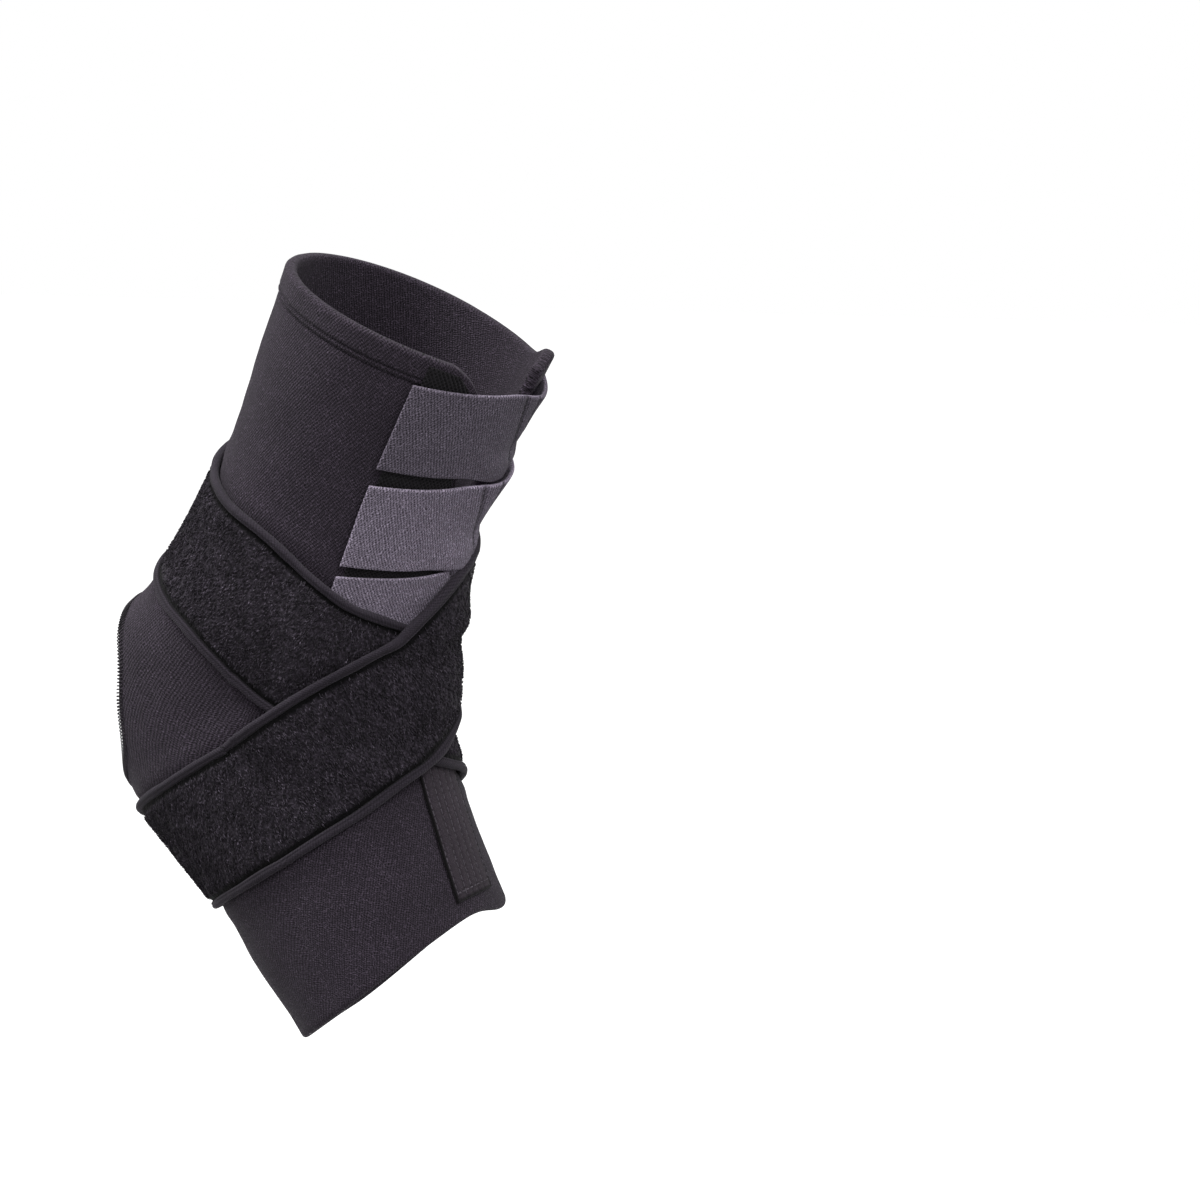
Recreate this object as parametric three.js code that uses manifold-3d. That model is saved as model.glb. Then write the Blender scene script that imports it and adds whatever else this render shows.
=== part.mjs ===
// An ankle brace for a right foot, in the shape that it takes when worn with the heel raised:
// a neoprene sleeve with an open heel and a front slit, three closing tabs over a loop patch,
// a stitched tape down the instep and one strap wound about the ankle in a figure of eight.
// Millimetres. +Z is up, +X points to the toes and -Y to the outer side of the ankle.
// The origin is the centre of the ankle joint, inside the sleeve.
import * as THREE from "three";
import { mergeVertices } from "three/addons/utils/BufferGeometryUtils.js";
import Module from "manifold-3d";

const wasm = await Module();
wasm.setup();
const { clamp, degToRad, lerp, smoothstep } = THREE.MathUtils;

// The leg and foot that the brace is shaped to
const CUFF_HEIGHT = 110; // ankle centre to the top rim, up the leg
const FOOT_REACH = 130; // ankle centre to the toe rim on the outer side, along the foot
const LEG_TILT = 25; // degrees that the leg leans forward of upright
const FOOT_PITCH = 60; // degrees that the foot points below level
const BEND_ABOVE = 40; // how far up the leg the bend of the ankle starts
const BEND_BELOW = 80; // how far along the foot it ends
const ANKLE_DEPTH = 76; // the leg front to back, where it is narrowest
const ANKLE_WIDTH = 66; // the same place side to side
const BONE_RISE = 2.5; // how far the ankle bones push out each side
const BONE_REACH = 16;

// Sections of the leg and foot, from above the top rim to beyond the toe rim. along is a share of
// CUFF_HEIGHT above the ankle and of FOOT_REACH below it, front and back are shares of
// ANKLE_DEPTH, side is a share of ANKLE_WIDTH, squareness is the exponent of the back half and
// twist is in degrees towards the outer side.
const SECTIONS = [
  { name: "calf", along: -1.2, front: 0.615, back: 0.545, side: 0.575, squareness: 2, twist: 0 },
  { name: "top rim", along: -1.04, front: 0.6, back: 0.53, side: 0.55, squareness: 2, twist: 0 },
  { name: "shin", along: -0.78, front: 0.57, back: 0.505, side: 0.52, squareness: 2, twist: 0 },
  { name: "narrowest", along: -0.52, front: 0.555, back: 0.475, side: 0.5, squareness: 2, twist: 0 },
  { name: "tendon", along: -0.31, front: 0.59, back: 0.46, side: 0.505, squareness: 2, twist: 0 },
  { name: "cord", along: -0.125, front: 0.6, back: 0.54, side: 0.52, squareness: 2, twist: 1 },
  { name: "ankle", along: 0, front: 0.6, back: 0.69, side: 0.535, squareness: 2, twist: 2 },
  { name: "heel top", along: 0.095, front: 0.6, back: 0.92, side: 0.54, squareness: 2, twist: 3 },
  { name: "heel", along: 0.21, front: 0.59, back: 1.0, side: 0.545, squareness: 2.1, twist: 4 },
  { name: "heel pad", along: 0.345, front: 0.55, back: 0.86, side: 0.56, squareness: 2.2, twist: 5 },
  { name: "arch", along: 0.48, front: 0.54, back: 0.67, side: 0.58, squareness: 2.4, twist: 6 },
  { name: "waist", along: 0.61, front: 0.515, back: 0.545, side: 0.6, squareness: 2.5, twist: 8 },
  { name: "instep", along: 0.79, front: 0.44, back: 0.5, side: 0.63, squareness: 2.6, twist: 10 },
  { name: "forefoot", along: 0.96, front: 0.375, back: 0.42, side: 0.65, squareness: 2.6, twist: 11 },
  { name: "ball", along: 1.15, front: 0.35, back: 0.37, side: 0.66, squareness: 2.6, twist: 12 },
];

// The sleeve, one thickness of neoprene between two faces of jersey
const WALL = 3.5;
const TOP_RIM_DIP = 2; // how much lower the top rim is on the outer side
const TOE_RIM_LEAN = 4.5; // how much shorter the foot part is on the instep, and longer on the sole
const TOE_RIM_SLANT = 5; // how much longer it is on the outer side than in the middle
const TOE_RIM_FLARE = 5; // how far it runs on beside the instep, on the inner side
const TOE_FLARE_TURN = -34; // degrees from the front to the middle of that
const HEEL_HOLE_TOP = 6; // below the ankle centre, along the spine
const HEEL_HOLE_BOTTOM = 44;
const HEEL_HOLE_TURN = 46; // degrees that the hole reaches each side of the back
const SLIT_FOOT = 8; // how far below the ankle centre the front slit ends
const SLIT_OUTER = 33; // degrees from the front to its outer edge at the top rim
const SLIT_INNER = -2; // degrees to its inner edge
const FLAP_PEAK = 7; // how far the inner flap's corner stands above the rim
const FLAP_PEAK_TURN = -17;
const SLIT_CORNER = 12; // height of the flap's round corner at the top rim
const SLIT_CORNER_WIDTH = 17;

// What lies on the sleeve
const GAP = 0.75; // clear space between one layer and the next
const PATCH_THICKNESS = 1;
const PATCH_TOP = 4; // from the top rim
const PATCH_INSET = 4; // from the slit
const PATCH_BOTTOM = 2; // above the ankle centre
const PATCH_TURN = 57; // degrees from the front to its rear edge
const TAB_THICKNESS = 1.6;
const TAB_FREE_TURN = 60; // degrees from the front to the free ends
const TAB_ROOT_TURN = -30; // degrees to the sewn ends
const TAB_BULGE = 1; // how far the tabs stand off the shin at their upper edges
const TAPE_THICKNESS = 1.2;
const TAPE_TOP = 22; // below the ankle centre
const TAPE_BOTTOM = 115;
const TAPE_TOP_TURN = 3; // degrees from the front to its middle, at its top
const TAPE_BOTTOM_TURN = -6; // and at its bottom
const TAPE_SPAN = 29; // degrees that it covers
const STRAP_WIDTH = 45;
const STRAP_THICKNESS = 2.6;
const BINDING_WIDTH = 4.3; // folded tape round each long edge of the strap
const SEAM = 0.3; // clear space between the pile and its bindings
const HOOK_THICKNESS = 1.2;
const HOOK_TURN = 40; // degrees of winding that the hook pad covers at the free end
const HOOK_MARGIN = 3; // from the hook pad to the bindings
const LAP = 7; // how far a lifted layer stays up past the edge that it crosses
const RAMP = 12; // over what length the strap then comes down off itself
const LONG_RAMP = 22; // and off the tabs and the tape

// The tabs: where the middle line is at the free and the sewn end and how wide the tab is, as
// shares of CUFF_HEIGHT, and its bulge as a share of TAB_BULGE.
const TABS = [
  { name: "tab_upper", free: -0.755, root: -0.875, width: 0.282, bulge: 0.4 },
  { name: "tab_middle", free: -0.418, root: -0.585, width: 0.282, bulge: 1 },
  { name: "tab_lower", free: -0.095, root: -0.295, width: 0.282, bulge: 0 },
];

// The middle line of the strap, from its free end on top to its sewn end below. turn counts on
// past full circles and along is a share as in SECTIONS.
const STRAP_PATH = [
  { turn: -518, along: -0.268 },
  { turn: -480, along: -0.255 },
  { turn: -450, along: -0.236 },
  { turn: -420, along: -0.21 },
  { turn: -395, along: -0.155 },
  { turn: -375, along: -0.064 },
  { turn: -357, along: 0.144 },
  { turn: -339, along: 0.247 },
  { turn: -320, along: 0.322 },
  { turn: -299, along: 0.391 },
  { turn: -265, along: 0.455 },
  { turn: -240, along: 0.477 },
  { turn: -212, along: 0.485 },
  { turn: -180, along: 0.492 },
  { turn: -150, along: 0.489 },
  { turn: -120, along: 0.47 },
  { turn: -95, along: 0.44 },
  { turn: -70, along: 0.41 },
  { turn: -45, along: 0.365 },
  { turn: -15, along: 0.295 },
  { turn: 6, along: 0.232 },
  { turn: 29, along: 0.17 },
  { turn: 45, along: 0.117 },
  { turn: 60, along: 0.068 },
  { turn: 80, along: -0.027 },
  { turn: 100, along: -0.105 },
  { turn: 125, along: -0.145 },
  { turn: 150, along: -0.178 },
  { turn: 182, along: -0.225 },
  { turn: 215, along: -0.265 },
  { turn: 245, along: -0.285 },
];

const LEG_HEADING = degToRad(-90 - LEG_TILT);
const FOOT_HEADING = degToRad(-FOOT_PITCH);
const BEND_RADIUS = (BEND_ABOVE + BEND_BELOW) / (FOOT_HEADING - LEG_HEADING);
const ANKLE_HEADING = LEG_HEADING + BEND_ABOVE / BEND_RADIUS;
const TAB_BASE = WALL + GAP + PATCH_THICKNESS + GAP;

// A place along the spine in millimetres from its share, and back.
const alongOf = (share) => share * (share < 0 ? CUFF_HEIGHT : FOOT_REACH);
const shareOf = (along) => along / (along < 0 ? CUFF_HEIGHT : FOOT_REACH);

// A smooth curve through a table's rows: the value of one column at a place of the key column.
function through(rows, key, place, column) {
  const last = rows.length - 1;
  let i = 0;
  while (i < last - 1 && rows[i + 1][key] < place) i += 1;
  const [a, b] = [rows[i], rows[i + 1]];
  const before = rows[Math.max(i - 1, 0)];
  const after = rows[Math.min(i + 2, last)];
  const span = b[key] - a[key];
  const slopeA = (b[column] - before[column]) / (b[key] - before[key]);
  const slopeB = (after[column] - a[column]) / (after[key] - a[key]);
  const t = clamp((place - a[key]) / span, 0, 1);
  const square = t * t;
  const cube = square * t;
  return (
    (2 * cube - 3 * square + 1) * a[column] +
    (cube - 2 * square + t) * span * slopeA +
    (3 * square - 2 * cube) * b[column] +
    (cube - square) * span * slopeB
  );
}

// The centre line of leg and foot: a straight, a round bend about the ankle and a straight.
function spineAt(along) {
  const bent = clamp(along, -BEND_ABOVE, BEND_BELOW);
  const heading = ANKLE_HEADING + bent / BEND_RADIUS;
  const beyond = along - bent;
  return {
    heading,
    x: BEND_RADIUS * (Math.sin(heading) - Math.sin(ANKLE_HEADING)) + beyond * Math.cos(heading),
    z: BEND_RADIUS * (Math.cos(ANKLE_HEADING) - Math.cos(heading)) + beyond * Math.sin(heading),
  };
}

// A signed power, which makes a circle's sine or cosine into a superellipse's.
const signedPower = (value, power) => Math.sign(value) * Math.abs(value) ** power;

// The point of the leg and foot at a distance along the spine and an angle round it:
// 0 degrees is the front, 90 the outer side, 180 the back or sole and 270 the inner side.
function formPoint(along, turn) {
  const { x, z, heading } = spineAt(along);
  const share = shareOf(along);
  const at = (column) => through(SECTIONS, "along", share, column);
  const angle = degToRad(turn);
  const [c, s] = [Math.cos(angle), Math.sin(angle)];
  const power = c > 0 ? 1 : 2 / at("squareness");
  const depth = ANKLE_DEPTH * (c > 0 ? at("front") : at("back")) * signedPower(c, power);
  const bone = BONE_RISE * Math.exp(-((along / BONE_REACH) ** 2)) * s ** 6;
  const side = (ANKLE_WIDTH * at("side") + bone) * signedPower(s, power);
  const twist = degToRad(at("twist"));
  const forward = depth * Math.cos(twist) - side * Math.sin(twist);
  const outward = side * Math.cos(twist) + depth * Math.sin(twist);
  return new THREE.Vector3(
    x - forward * Math.sin(heading),
    -outward,
    z + forward * Math.cos(heading),
  );
}

// The form's surface at a point: the steps that one millimetre along and one degree round make,
// and the normal.
function surfaceAt(along, turn) {
  const step = 0.5;
  const down = formPoint(along + step, turn).sub(formPoint(along - step, turn));
  const round = formPoint(along, turn + step).sub(formPoint(along, turn - step));
  return { down, round, normal: round.clone().cross(down).normalize() };
}

// A point raised off the form by a height, along the form's normal.
function overForm(along, turn, height) {
  return formPoint(along, turn).addScaledVector(surfaceAt(along, turn).normal, height);
}

const topRim = (turn) =>
  -CUFF_HEIGHT +
  TOP_RIM_DIP * Math.sin(degToRad(turn)) -
  FLAP_PEAK * Math.max(Math.cos(degToRad(turn - FLAP_PEAK_TURN)), 0) ** 30;
const toeRim = (turn) =>
  FOOT_REACH -
  TOE_RIM_LEAN * Math.cos(degToRad(turn)) -
  TOE_RIM_SLANT * (1 - Math.sin(degToRad(turn))) +
  TOE_RIM_FLARE * Math.max(Math.cos(degToRad(turn - TOE_FLARE_TURN)), 0) ** 12;

// How many degrees one millimetre round the shin is, near the front.
const TURN_PER_MM = 180 / (Math.PI * ANKLE_DEPTH * 0.6);

// The outer edge of the slit: slanted, with the flap's round corner at the top rim.
function slitOuter(along) {
  const slanted = lerp(SLIT_INNER + 8, SLIT_OUTER, clamp(-along / CUFF_HEIGHT, 0, 1) ** 1.6);
  const inCorner = clamp((SLIT_CORNER - along + topRim(SLIT_OUTER)) / SLIT_CORNER, 0, 1);
  return slanted + SLIT_CORNER_WIDTH * TURN_PER_MM * (1 - Math.sqrt(1 - inCorner ** 2));
}

// Whether a layer lies under a point, from 1 well inside its edge to 0 beyond the ramp.
const covered = (past, ramp) => 1 - smoothstep(past, LAP, LAP + ramp);

const tabMiddle = (tab, turn) => {
  const share = (TAB_FREE_TURN - turn) / (TAB_FREE_TURN - TAB_ROOT_TURN);
  return CUFF_HEIGHT * lerp(tab.free, tab.root, share);
};

const tapeMiddle = (along) => {
  const share = (along - TAPE_TOP) / (TAPE_BOTTOM - TAPE_TOP);
  return lerp(TAPE_TOP_TURN, TAPE_BOTTOM_TURN, share);
};

// What the flat layers under the strap add to its height.
function flatLayers(along, turn) {
  const round = turn - 360 * Math.round(turn / 360);
  const pastTab = (tab) =>
    Math.max(
      Math.abs(along - tabMiddle(tab, round)) - (CUFF_HEIGHT * tab.width) / 2,
      (round - TAB_FREE_TURN) / TURN_PER_MM,
      (TAB_ROOT_TURN - round) / TURN_PER_MM,
    );
  const tabs = Math.max(...TABS.map((tab) => covered(pastTab(tab), LONG_RAMP)));
  const tape = covered(
    Math.max(
      (Math.abs(round - tapeMiddle(along)) - TAPE_SPAN / 2) / TURN_PER_MM,
      TAPE_TOP - along,
      along - TAPE_BOTTOM,
    ),
    LONG_RAMP,
  );
  const overTabs = (TAB_BASE - WALL - GAP + TAB_THICKNESS + GAP) * tabs;
  return Math.max(overTabs, (TAPE_THICKNESS + GAP) * tape);
}

const strapAlong = (turn) => {
  const rows = STRAP_PATH.map((row) => ({ turn: row.turn, along: alongOf(row.along) }));
  return through(rows, "turn", turn, "along");
};
const STRAP_END = STRAP_PATH[0].turn;
const STRAP_START = STRAP_PATH.at(-1).turn;
const strapMiddle = Array.from({ length: 200 }, (_, i) => {
  const turn = lerp(STRAP_START, STRAP_END, i / 199);
  return { turn, point: overForm(strapAlong(turn), turn, WALL) };
});

// The distance wound off at each of those places, and the turn at a share of the whole length
// between two turns.
let length = 0;
strapMiddle.forEach((place, i) => {
  length += i > 0 ? place.point.distanceTo(strapMiddle[i - 1].point) : 0;
  place.length = length;
});
const lengthAt = (turn) => {
  const at = clamp(((turn - STRAP_START) / (STRAP_END - STRAP_START)) * 199, 0, 199);
  const i = Math.min(Math.floor(at), 198);
  return lerp(strapMiddle[i].length, strapMiddle[i + 1].length, at - i);
};
function turnBetween(from, to, share) {
  const wanted = lerp(lengthAt(from), lengthAt(to), share);
  const i = clamp(strapMiddle.findIndex((place) => place.length >= wanted), 1, 199);
  const [a, b] = [strapMiddle[i - 1], strapMiddle[i]];
  return lerp(a.turn, b.turn, (wanted - a.length) / (b.length - a.length));
}

// How far a point is from the middle of the strap's earlier windings.
function fromEarlier(point, turn) {
  const earlier = strapMiddle.filter((place) => place.turn > turn + 180);
  const reach = new THREE.Line3();
  const nearest = new THREE.Vector3();
  let least = Infinity;
  for (let i = 1; i < earlier.length; i += 1) {
    reach.set(earlier[i - 1].point, earlier[i].point);
    least = Math.min(least, reach.closestPointToPoint(point, true, nearest).distanceTo(point));
  }
  return least;
}

// The height of the strap's underside over the form.
function strapBase(along, turn, wound) {
  const point = overForm(along, turn, WALL);
  const crossed = covered(fromEarlier(point, wound) - STRAP_WIDTH / 2, RAMP);
  const hooked = covered((wound - STRAP_END - HOOK_TURN) / TURN_PER_MM, RAMP);
  return (
    WALL +
    GAP +
    flatLayers(along, turn) +
    (STRAP_THICKNESS + GAP) * crossed +
    (HOOK_THICKNESS + GAP) * hooked
  );
}

// The place on the form at a distance across the strap from its middle line, found by walking
// over the surface square to the strap.
function acrossStrap(wound, distance) {
  let [along, turn] = [strapAlong(wound), wound];
  const ahead = formPoint(strapAlong(wound - 1), wound - 1);
  const tangent = ahead.sub(formPoint(strapAlong(wound + 1), wound + 1));
  const { normal } = surfaceAt(along, turn);
  const heading = tangent.cross(normal).normalize();
  const steps = 6;
  for (let i = 0; i < steps; i += 1) {
    const surface = surfaceAt(along, turn);
    heading.projectOnPlane(surface.normal).normalize();
    const [dd, rr] = [surface.down.lengthSq(), surface.round.lengthSq()];
    const dr = surface.down.dot(surface.round);
    const [hd, hr] = [heading.dot(surface.down), heading.dot(surface.round)];
    const whole = dd * rr - dr * dr;
    along += ((hd * rr - hr * dr) / whole) * (distance / steps);
    turn += ((hr * dd - hd * dr) / whole) * (distance / steps);
  }
  return { along, turn };
}

function geometryOf(points, triangles) {
  const geometry = new THREE.BufferGeometry().setFromPoints(points);
  geometry.setIndex(triangles);
  return geometry;
}

// Six times the volume inside a closed surface, negative if it faces in.
function volumeInside(points, triangles) {
  let sum = 0;
  for (let i = 0; i < triangles.length; i += 3) {
    const [a, b, c] = [points[triangles[i]], points[triangles[i + 1]], points[triangles[i + 2]]];
    sum += a.dot(b.clone().cross(c));
  }
  return sum;
}

// A closed slab from a grid of places, each with a point on its lower and its upper face.
// If round is set the columns close into a ring and the slab becomes a tube.
function slab(grid, round = false) {
  const [rows, columns] = [grid.length, grid[0].length];
  const points = grid.flat().flatMap((place) => [place.lower, place.upper]);
  const at = (i, j, face) => 2 * (i * columns + (j % columns)) + face;
  const triangles = [];
  const quad = (a, b, c, d) => triangles.push(a, b, c, a, c, d);
  const across = round ? columns : columns - 1;
  for (let j = 0; j < across; j += 1) {
    for (let i = 0; i < rows - 1; i += 1) {
      quad(at(i, j, 1), at(i + 1, j, 1), at(i + 1, j + 1, 1), at(i, j + 1, 1));
      quad(at(i, j, 0), at(i, j + 1, 0), at(i + 1, j + 1, 0), at(i + 1, j, 0));
    }
    quad(at(0, j, 0), at(0, j, 1), at(0, j + 1, 1), at(0, j + 1, 0));
    quad(at(rows - 1, j, 0), at(rows - 1, j + 1, 0), at(rows - 1, j + 1, 1), at(rows - 1, j, 1));
  }
  for (let i = 0; i < rows - 1 && !round; i += 1) {
    quad(at(i, 0, 0), at(i + 1, 0, 0), at(i + 1, 0, 1), at(i, 0, 1));
    const j = columns - 1;
    quad(at(i, j, 0), at(i, j, 1), at(i + 1, j, 1), at(i + 1, j, 0));
  }
  if (volumeInside(points, triangles) < 0) triangles.reverse();
  return geometryOf(points, triangles);
}

// A grid of places over the form. place gives along, turn, and the heights of both faces.
function sheetOver(rows, columns, place, round = false) {
  const grid = Array.from({ length: rows + 1 }, (_, i) =>
    Array.from({ length: columns + (round ? 0 : 1) }, (__, j) => {
      const { along, turn, from, to } = place(i / rows, j / columns);
      return { lower: overForm(along, turn, from), upper: overForm(along, turn, to) };
    }),
  );
  return slab(grid, round);
}

function solidOf(geometry) {
  const merged = mergeVertices(geometry, 1e-4);
  return new wasm.Manifold(
    new wasm.Mesh({
      numProp: 3,
      vertProperties: new Float32Array(merged.attributes.position.array),
      triVerts: new Uint32Array(merged.index.array),
    }),
  );
}

function geometryFrom(solid) {
  const { vertProperties, triVerts } = solid.getMesh();
  const geometry = new THREE.BufferGeometry();
  geometry.setAttribute("position", new THREE.BufferAttribute(new Float32Array(vertProperties), 3));
  geometry.setIndex(new THREE.BufferAttribute(new Uint32Array(triVerts), 1));
  return geometry;
}

// The tube of the sleeve before it is cut.
function sleeveTube() {
  return sheetOver(
    27,
    44,
    (s, t) => {
      const turn = 360 * t;
      return { along: lerp(topRim(turn), toeRim(turn), s), turn, from: 0, to: WALL };
    },
    true,
  );
}

// The cutter of the front slit.
function slitCutter() {
  return sheetOver(18, 3, (s, t) => {
    const along = lerp(-CUFF_HEIGHT - 12, SLIT_FOOT, s ** 1.4);
    return { along, turn: lerp(SLIT_INNER, slitOuter(along), t), from: -6, to: WALL + 5 };
  });
}

// The cutter of the heel hole: rings over the form from below it to above it, about the middle
// of the hole.
function heelCutter() {
  const middle = (HEEL_HOLE_TOP + HEEL_HOLE_BOTTOM) / 2;
  const reach = (HEEL_HOLE_BOTTOM - HEEL_HOLE_TOP) / 2;
  const sides = 36;
  const ring = (height) =>
    Array.from({ length: sides }, (_, i) => {
      const angle = (2 * Math.PI * i) / sides;
      const along = middle + reach * signedPower(Math.cos(angle), 0.8);
      return overForm(along, 180 + HEEL_HOLE_TURN * signedPower(Math.sin(angle), 0.8), height);
    });
  const points = [...ring(-9), ...ring(WALL + 9)];
  points.push(overForm(middle, 180, -14), overForm(middle, 180, WALL + 12));
  const triangles = [];
  for (let i = 0; i < sides; i += 1) {
    const j = (i + 1) % sides;
    triangles.push(i, j, sides + j, i, sides + j, sides + i);
    triangles.push(j, i, 2 * sides);
    triangles.push(sides + i, sides + j, 2 * sides + 1);
  }
  if (volumeInside(points, triangles) < 0) triangles.reverse();
  return geometryOf(points, triangles);
}

function loopPatch() {
  return sheetOver(14, 5, (s, t) => {
    const along = lerp(-CUFF_HEIGHT + PATCH_TOP, -PATCH_BOTTOM, s);
    const turn = lerp(slitOuter(along) + PATCH_INSET * TURN_PER_MM, PATCH_TURN, t);
    return { along, turn, from: WALL + GAP, to: WALL + GAP + PATCH_THICKNESS };
  });
}

function tabSheet(tab) {
  return sheetOver(16, 3, (s, t) => {
    const turn = lerp(TAB_FREE_TURN, TAB_ROOT_TURN, s);
    const along = tabMiddle(tab, turn) + CUFF_HEIGHT * tab.width * (t - 0.5);
    const bowed = 1 - smoothstep(Math.abs(turn + 10), 8, 26);
    const seated = (WALL + GAP - TAB_BASE) * (1 - smoothstep(turn, TAB_ROOT_TURN, SLIT_INNER));
    const from = TAB_BASE + seated + TAB_BULGE * tab.bulge * bowed * (1 - t);
    return { along, turn, from, to: from + TAB_THICKNESS };
  });
}

function instepTape() {
  return sheetOver(14, 2, (s, t) => {
    const along = lerp(TAPE_TOP, TAPE_BOTTOM, s);
    const turn = tapeMiddle(along) + TAPE_SPAN * (t - 0.5);
    return { along, turn, from: WALL + GAP, to: WALL + GAP + TAPE_THICKNESS };
  });
}

// A strip between two distances from the strap's middle line and two turns of its winding.
function strapStrip(across, wound, stations, heights) {
  return sheetOver(stations, across.columns, (s, t) => {
    const place = turnBetween(wound.from, wound.to, s);
    const { along, turn } = acrossStrap(place, lerp(across.from, across.to, t));
    return { along, turn, ...heights(along, turn, place) };
  });
}

const strapHeights = (along, turn, wound) => {
  const from = strapBase(along, turn, wound);
  return { from, to: from + STRAP_THICKNESS };
};
const hookHeights = (along, turn, wound) => {
  const to = strapBase(along, turn, wound) - GAP;
  return { from: to - HOOK_THICKNESS, to };
};

function fabric(color, roughness) {
  return new THREE.MeshStandardMaterial({ color, roughness, metalness: 0 });
}

function meshOf(name, geometry, material) {
  const mesh = new THREE.Mesh(geometry, material);
  mesh.name = name;
  return mesh;
}

const NEOPRENE = fabric(0x34303a, 0.85);
const LOOP = fabric(0x232125, 0.95);
const TRICOT = fabric(0x5f5a66, 0.9);
const RIBBON = fabric(0x37333a, 0.85);
const PILE = fabric(0x2a272c, 1);
const BINDING = fabric(0x37343a, 0.8);
const HOOK = fabric(0x1c1b1d, 0.7);

const EDGE = STRAP_WIDTH / 2;
const CORE = EDGE - BINDING_WIDTH;
const pileAcross = { from: -CORE + SEAM, to: CORE - SEAM, columns: 6 };
const upperAcross = { from: -EDGE, to: -CORE, columns: 1 };
const lowerAcross = { from: CORE, to: EDGE, columns: 1 };
const hookAcross = { from: -CORE + HOOK_MARGIN, to: CORE - HOOK_MARGIN, columns: 5 };
const wholeStrap = { from: STRAP_START, to: STRAP_END };
const hookedEnd = { from: STRAP_END + HOOK_TURN, to: STRAP_END + 2 };
const strapPiece = (across) => strapStrip(across, wholeStrap, 100, strapHeights);

const brace = new THREE.Group();
const tube = solidOf(sleeveTube());
const sleeve = tube.subtract(solidOf(slitCutter())).subtract(solidOf(heelCutter()));
brace.add(
  meshOf("sleeve", geometryFrom(sleeve), NEOPRENE),
  meshOf("loop_patch", loopPatch(), LOOP),
  ...TABS.map((tab) => meshOf(tab.name, tabSheet(tab), TRICOT)),
  meshOf("instep_tape", instepTape(), RIBBON),
  meshOf("strap", strapPiece(pileAcross), PILE),
  meshOf("strap_edge_a", strapPiece(upperAcross), BINDING),
  meshOf("strap_edge_b", strapPiece(lowerAcross), BINDING),
  meshOf("strap_hook_pad", strapStrip(hookAcross, hookedEnd, 7, hookHeights), HOOK),
);

export default brace;
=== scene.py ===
"""Dresses the ankle brace: knitted sleeve, loop patch, closing tabs, instep tape and wound strap.

Sizes are millimetres and degrees, and meshes are metres. +Z is up, +X points forward and -Y to
the outer side. Every piece lies over one bent form: a point of it has a distance along the form,
an angle round it (0 the front, 90 the outer side, 180 the back or sole) and a height over it.
"""

import logging
import math
from dataclasses import dataclass, replace
from enum import Enum

import bpy
import numpy as np
from mathutils import Matrix, Vector


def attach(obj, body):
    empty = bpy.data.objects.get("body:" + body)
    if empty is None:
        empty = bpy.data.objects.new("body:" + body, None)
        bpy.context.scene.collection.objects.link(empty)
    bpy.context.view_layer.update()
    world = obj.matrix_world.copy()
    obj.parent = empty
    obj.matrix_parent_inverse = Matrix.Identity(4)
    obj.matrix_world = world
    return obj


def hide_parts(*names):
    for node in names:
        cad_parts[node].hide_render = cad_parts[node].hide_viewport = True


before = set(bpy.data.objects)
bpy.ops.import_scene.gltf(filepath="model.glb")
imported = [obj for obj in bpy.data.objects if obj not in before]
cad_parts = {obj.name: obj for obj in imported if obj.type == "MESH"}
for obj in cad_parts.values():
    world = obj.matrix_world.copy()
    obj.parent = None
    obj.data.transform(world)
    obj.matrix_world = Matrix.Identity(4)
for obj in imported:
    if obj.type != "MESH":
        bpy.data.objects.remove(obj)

log = logging.getLogger("brace")
Array = np.ndarray
CLOTH_MAP = "cloth"
SHADE = "shade"
Socket = bpy.types.NodeSocket
Value = Socket | float


def smooth(value: Array, low: float, high: float) -> Array:
    """A smooth step, 0 at low and 1 at high: 3t squared less 2t cubed."""
    t = np.clip((value - low) / (high - low), 0, 1)
    return t * t * (3 - 2 * t)


def between(start: Array | float, stop: Array | float, share: Array) -> Array:
    """The value at a share of the way from start to stop."""
    return start + (stop - start) * share


def dents(value: Array, lines: tuple[Array | float, ...], width: float) -> Array:
    """Grooves along lines: 1 on a line, falling off as a bell curve of that width."""
    return sum(np.exp(-(((value - line) / width) ** 2)) for line in lines)


def unit(vectors: Array) -> Array:
    """Vectors brought to length 1."""
    return vectors / np.linalg.norm(vectors, axis=-1, keepdims=True)


def running(points: Array) -> Array:
    """Lengths along a line of points, from 0 at the first."""
    return np.concatenate([[0], np.cumsum(np.linalg.norm(np.diff(points, axis=0), axis=1))])


def power(value: Array, exponent: Array | float) -> Array:
    """A power that keeps the sign, which turns a circle's sine into a superellipse's."""
    return np.sign(value) * np.abs(value) ** exponent


def ripple(u: Array, v: Array, seed: int, size: float) -> Array:
    """Soft unevenness of a cloth: the mean of eight plane waves in random directions.

    Args:
        u: place along the cloth, in millimetres.
        v: place across it.
        seed: which set of waves.
        size: the middle wavelength in millimetres.

    Returns:
        Heights from about -1 to 1.
    """
    rng = np.random.default_rng(seed)
    total = np.zeros(np.broadcast(u, v).shape)
    for angle, phase, scale in rng.uniform([0, 0, 0.6], [np.pi, 2 * np.pi, 1.7], (8, 3)):
        wave = 2 * np.pi / (size * scale)
        total = total + np.sin(wave * (u * np.cos(angle) + v * np.sin(angle)) + phase)
    return total / 4


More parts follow.
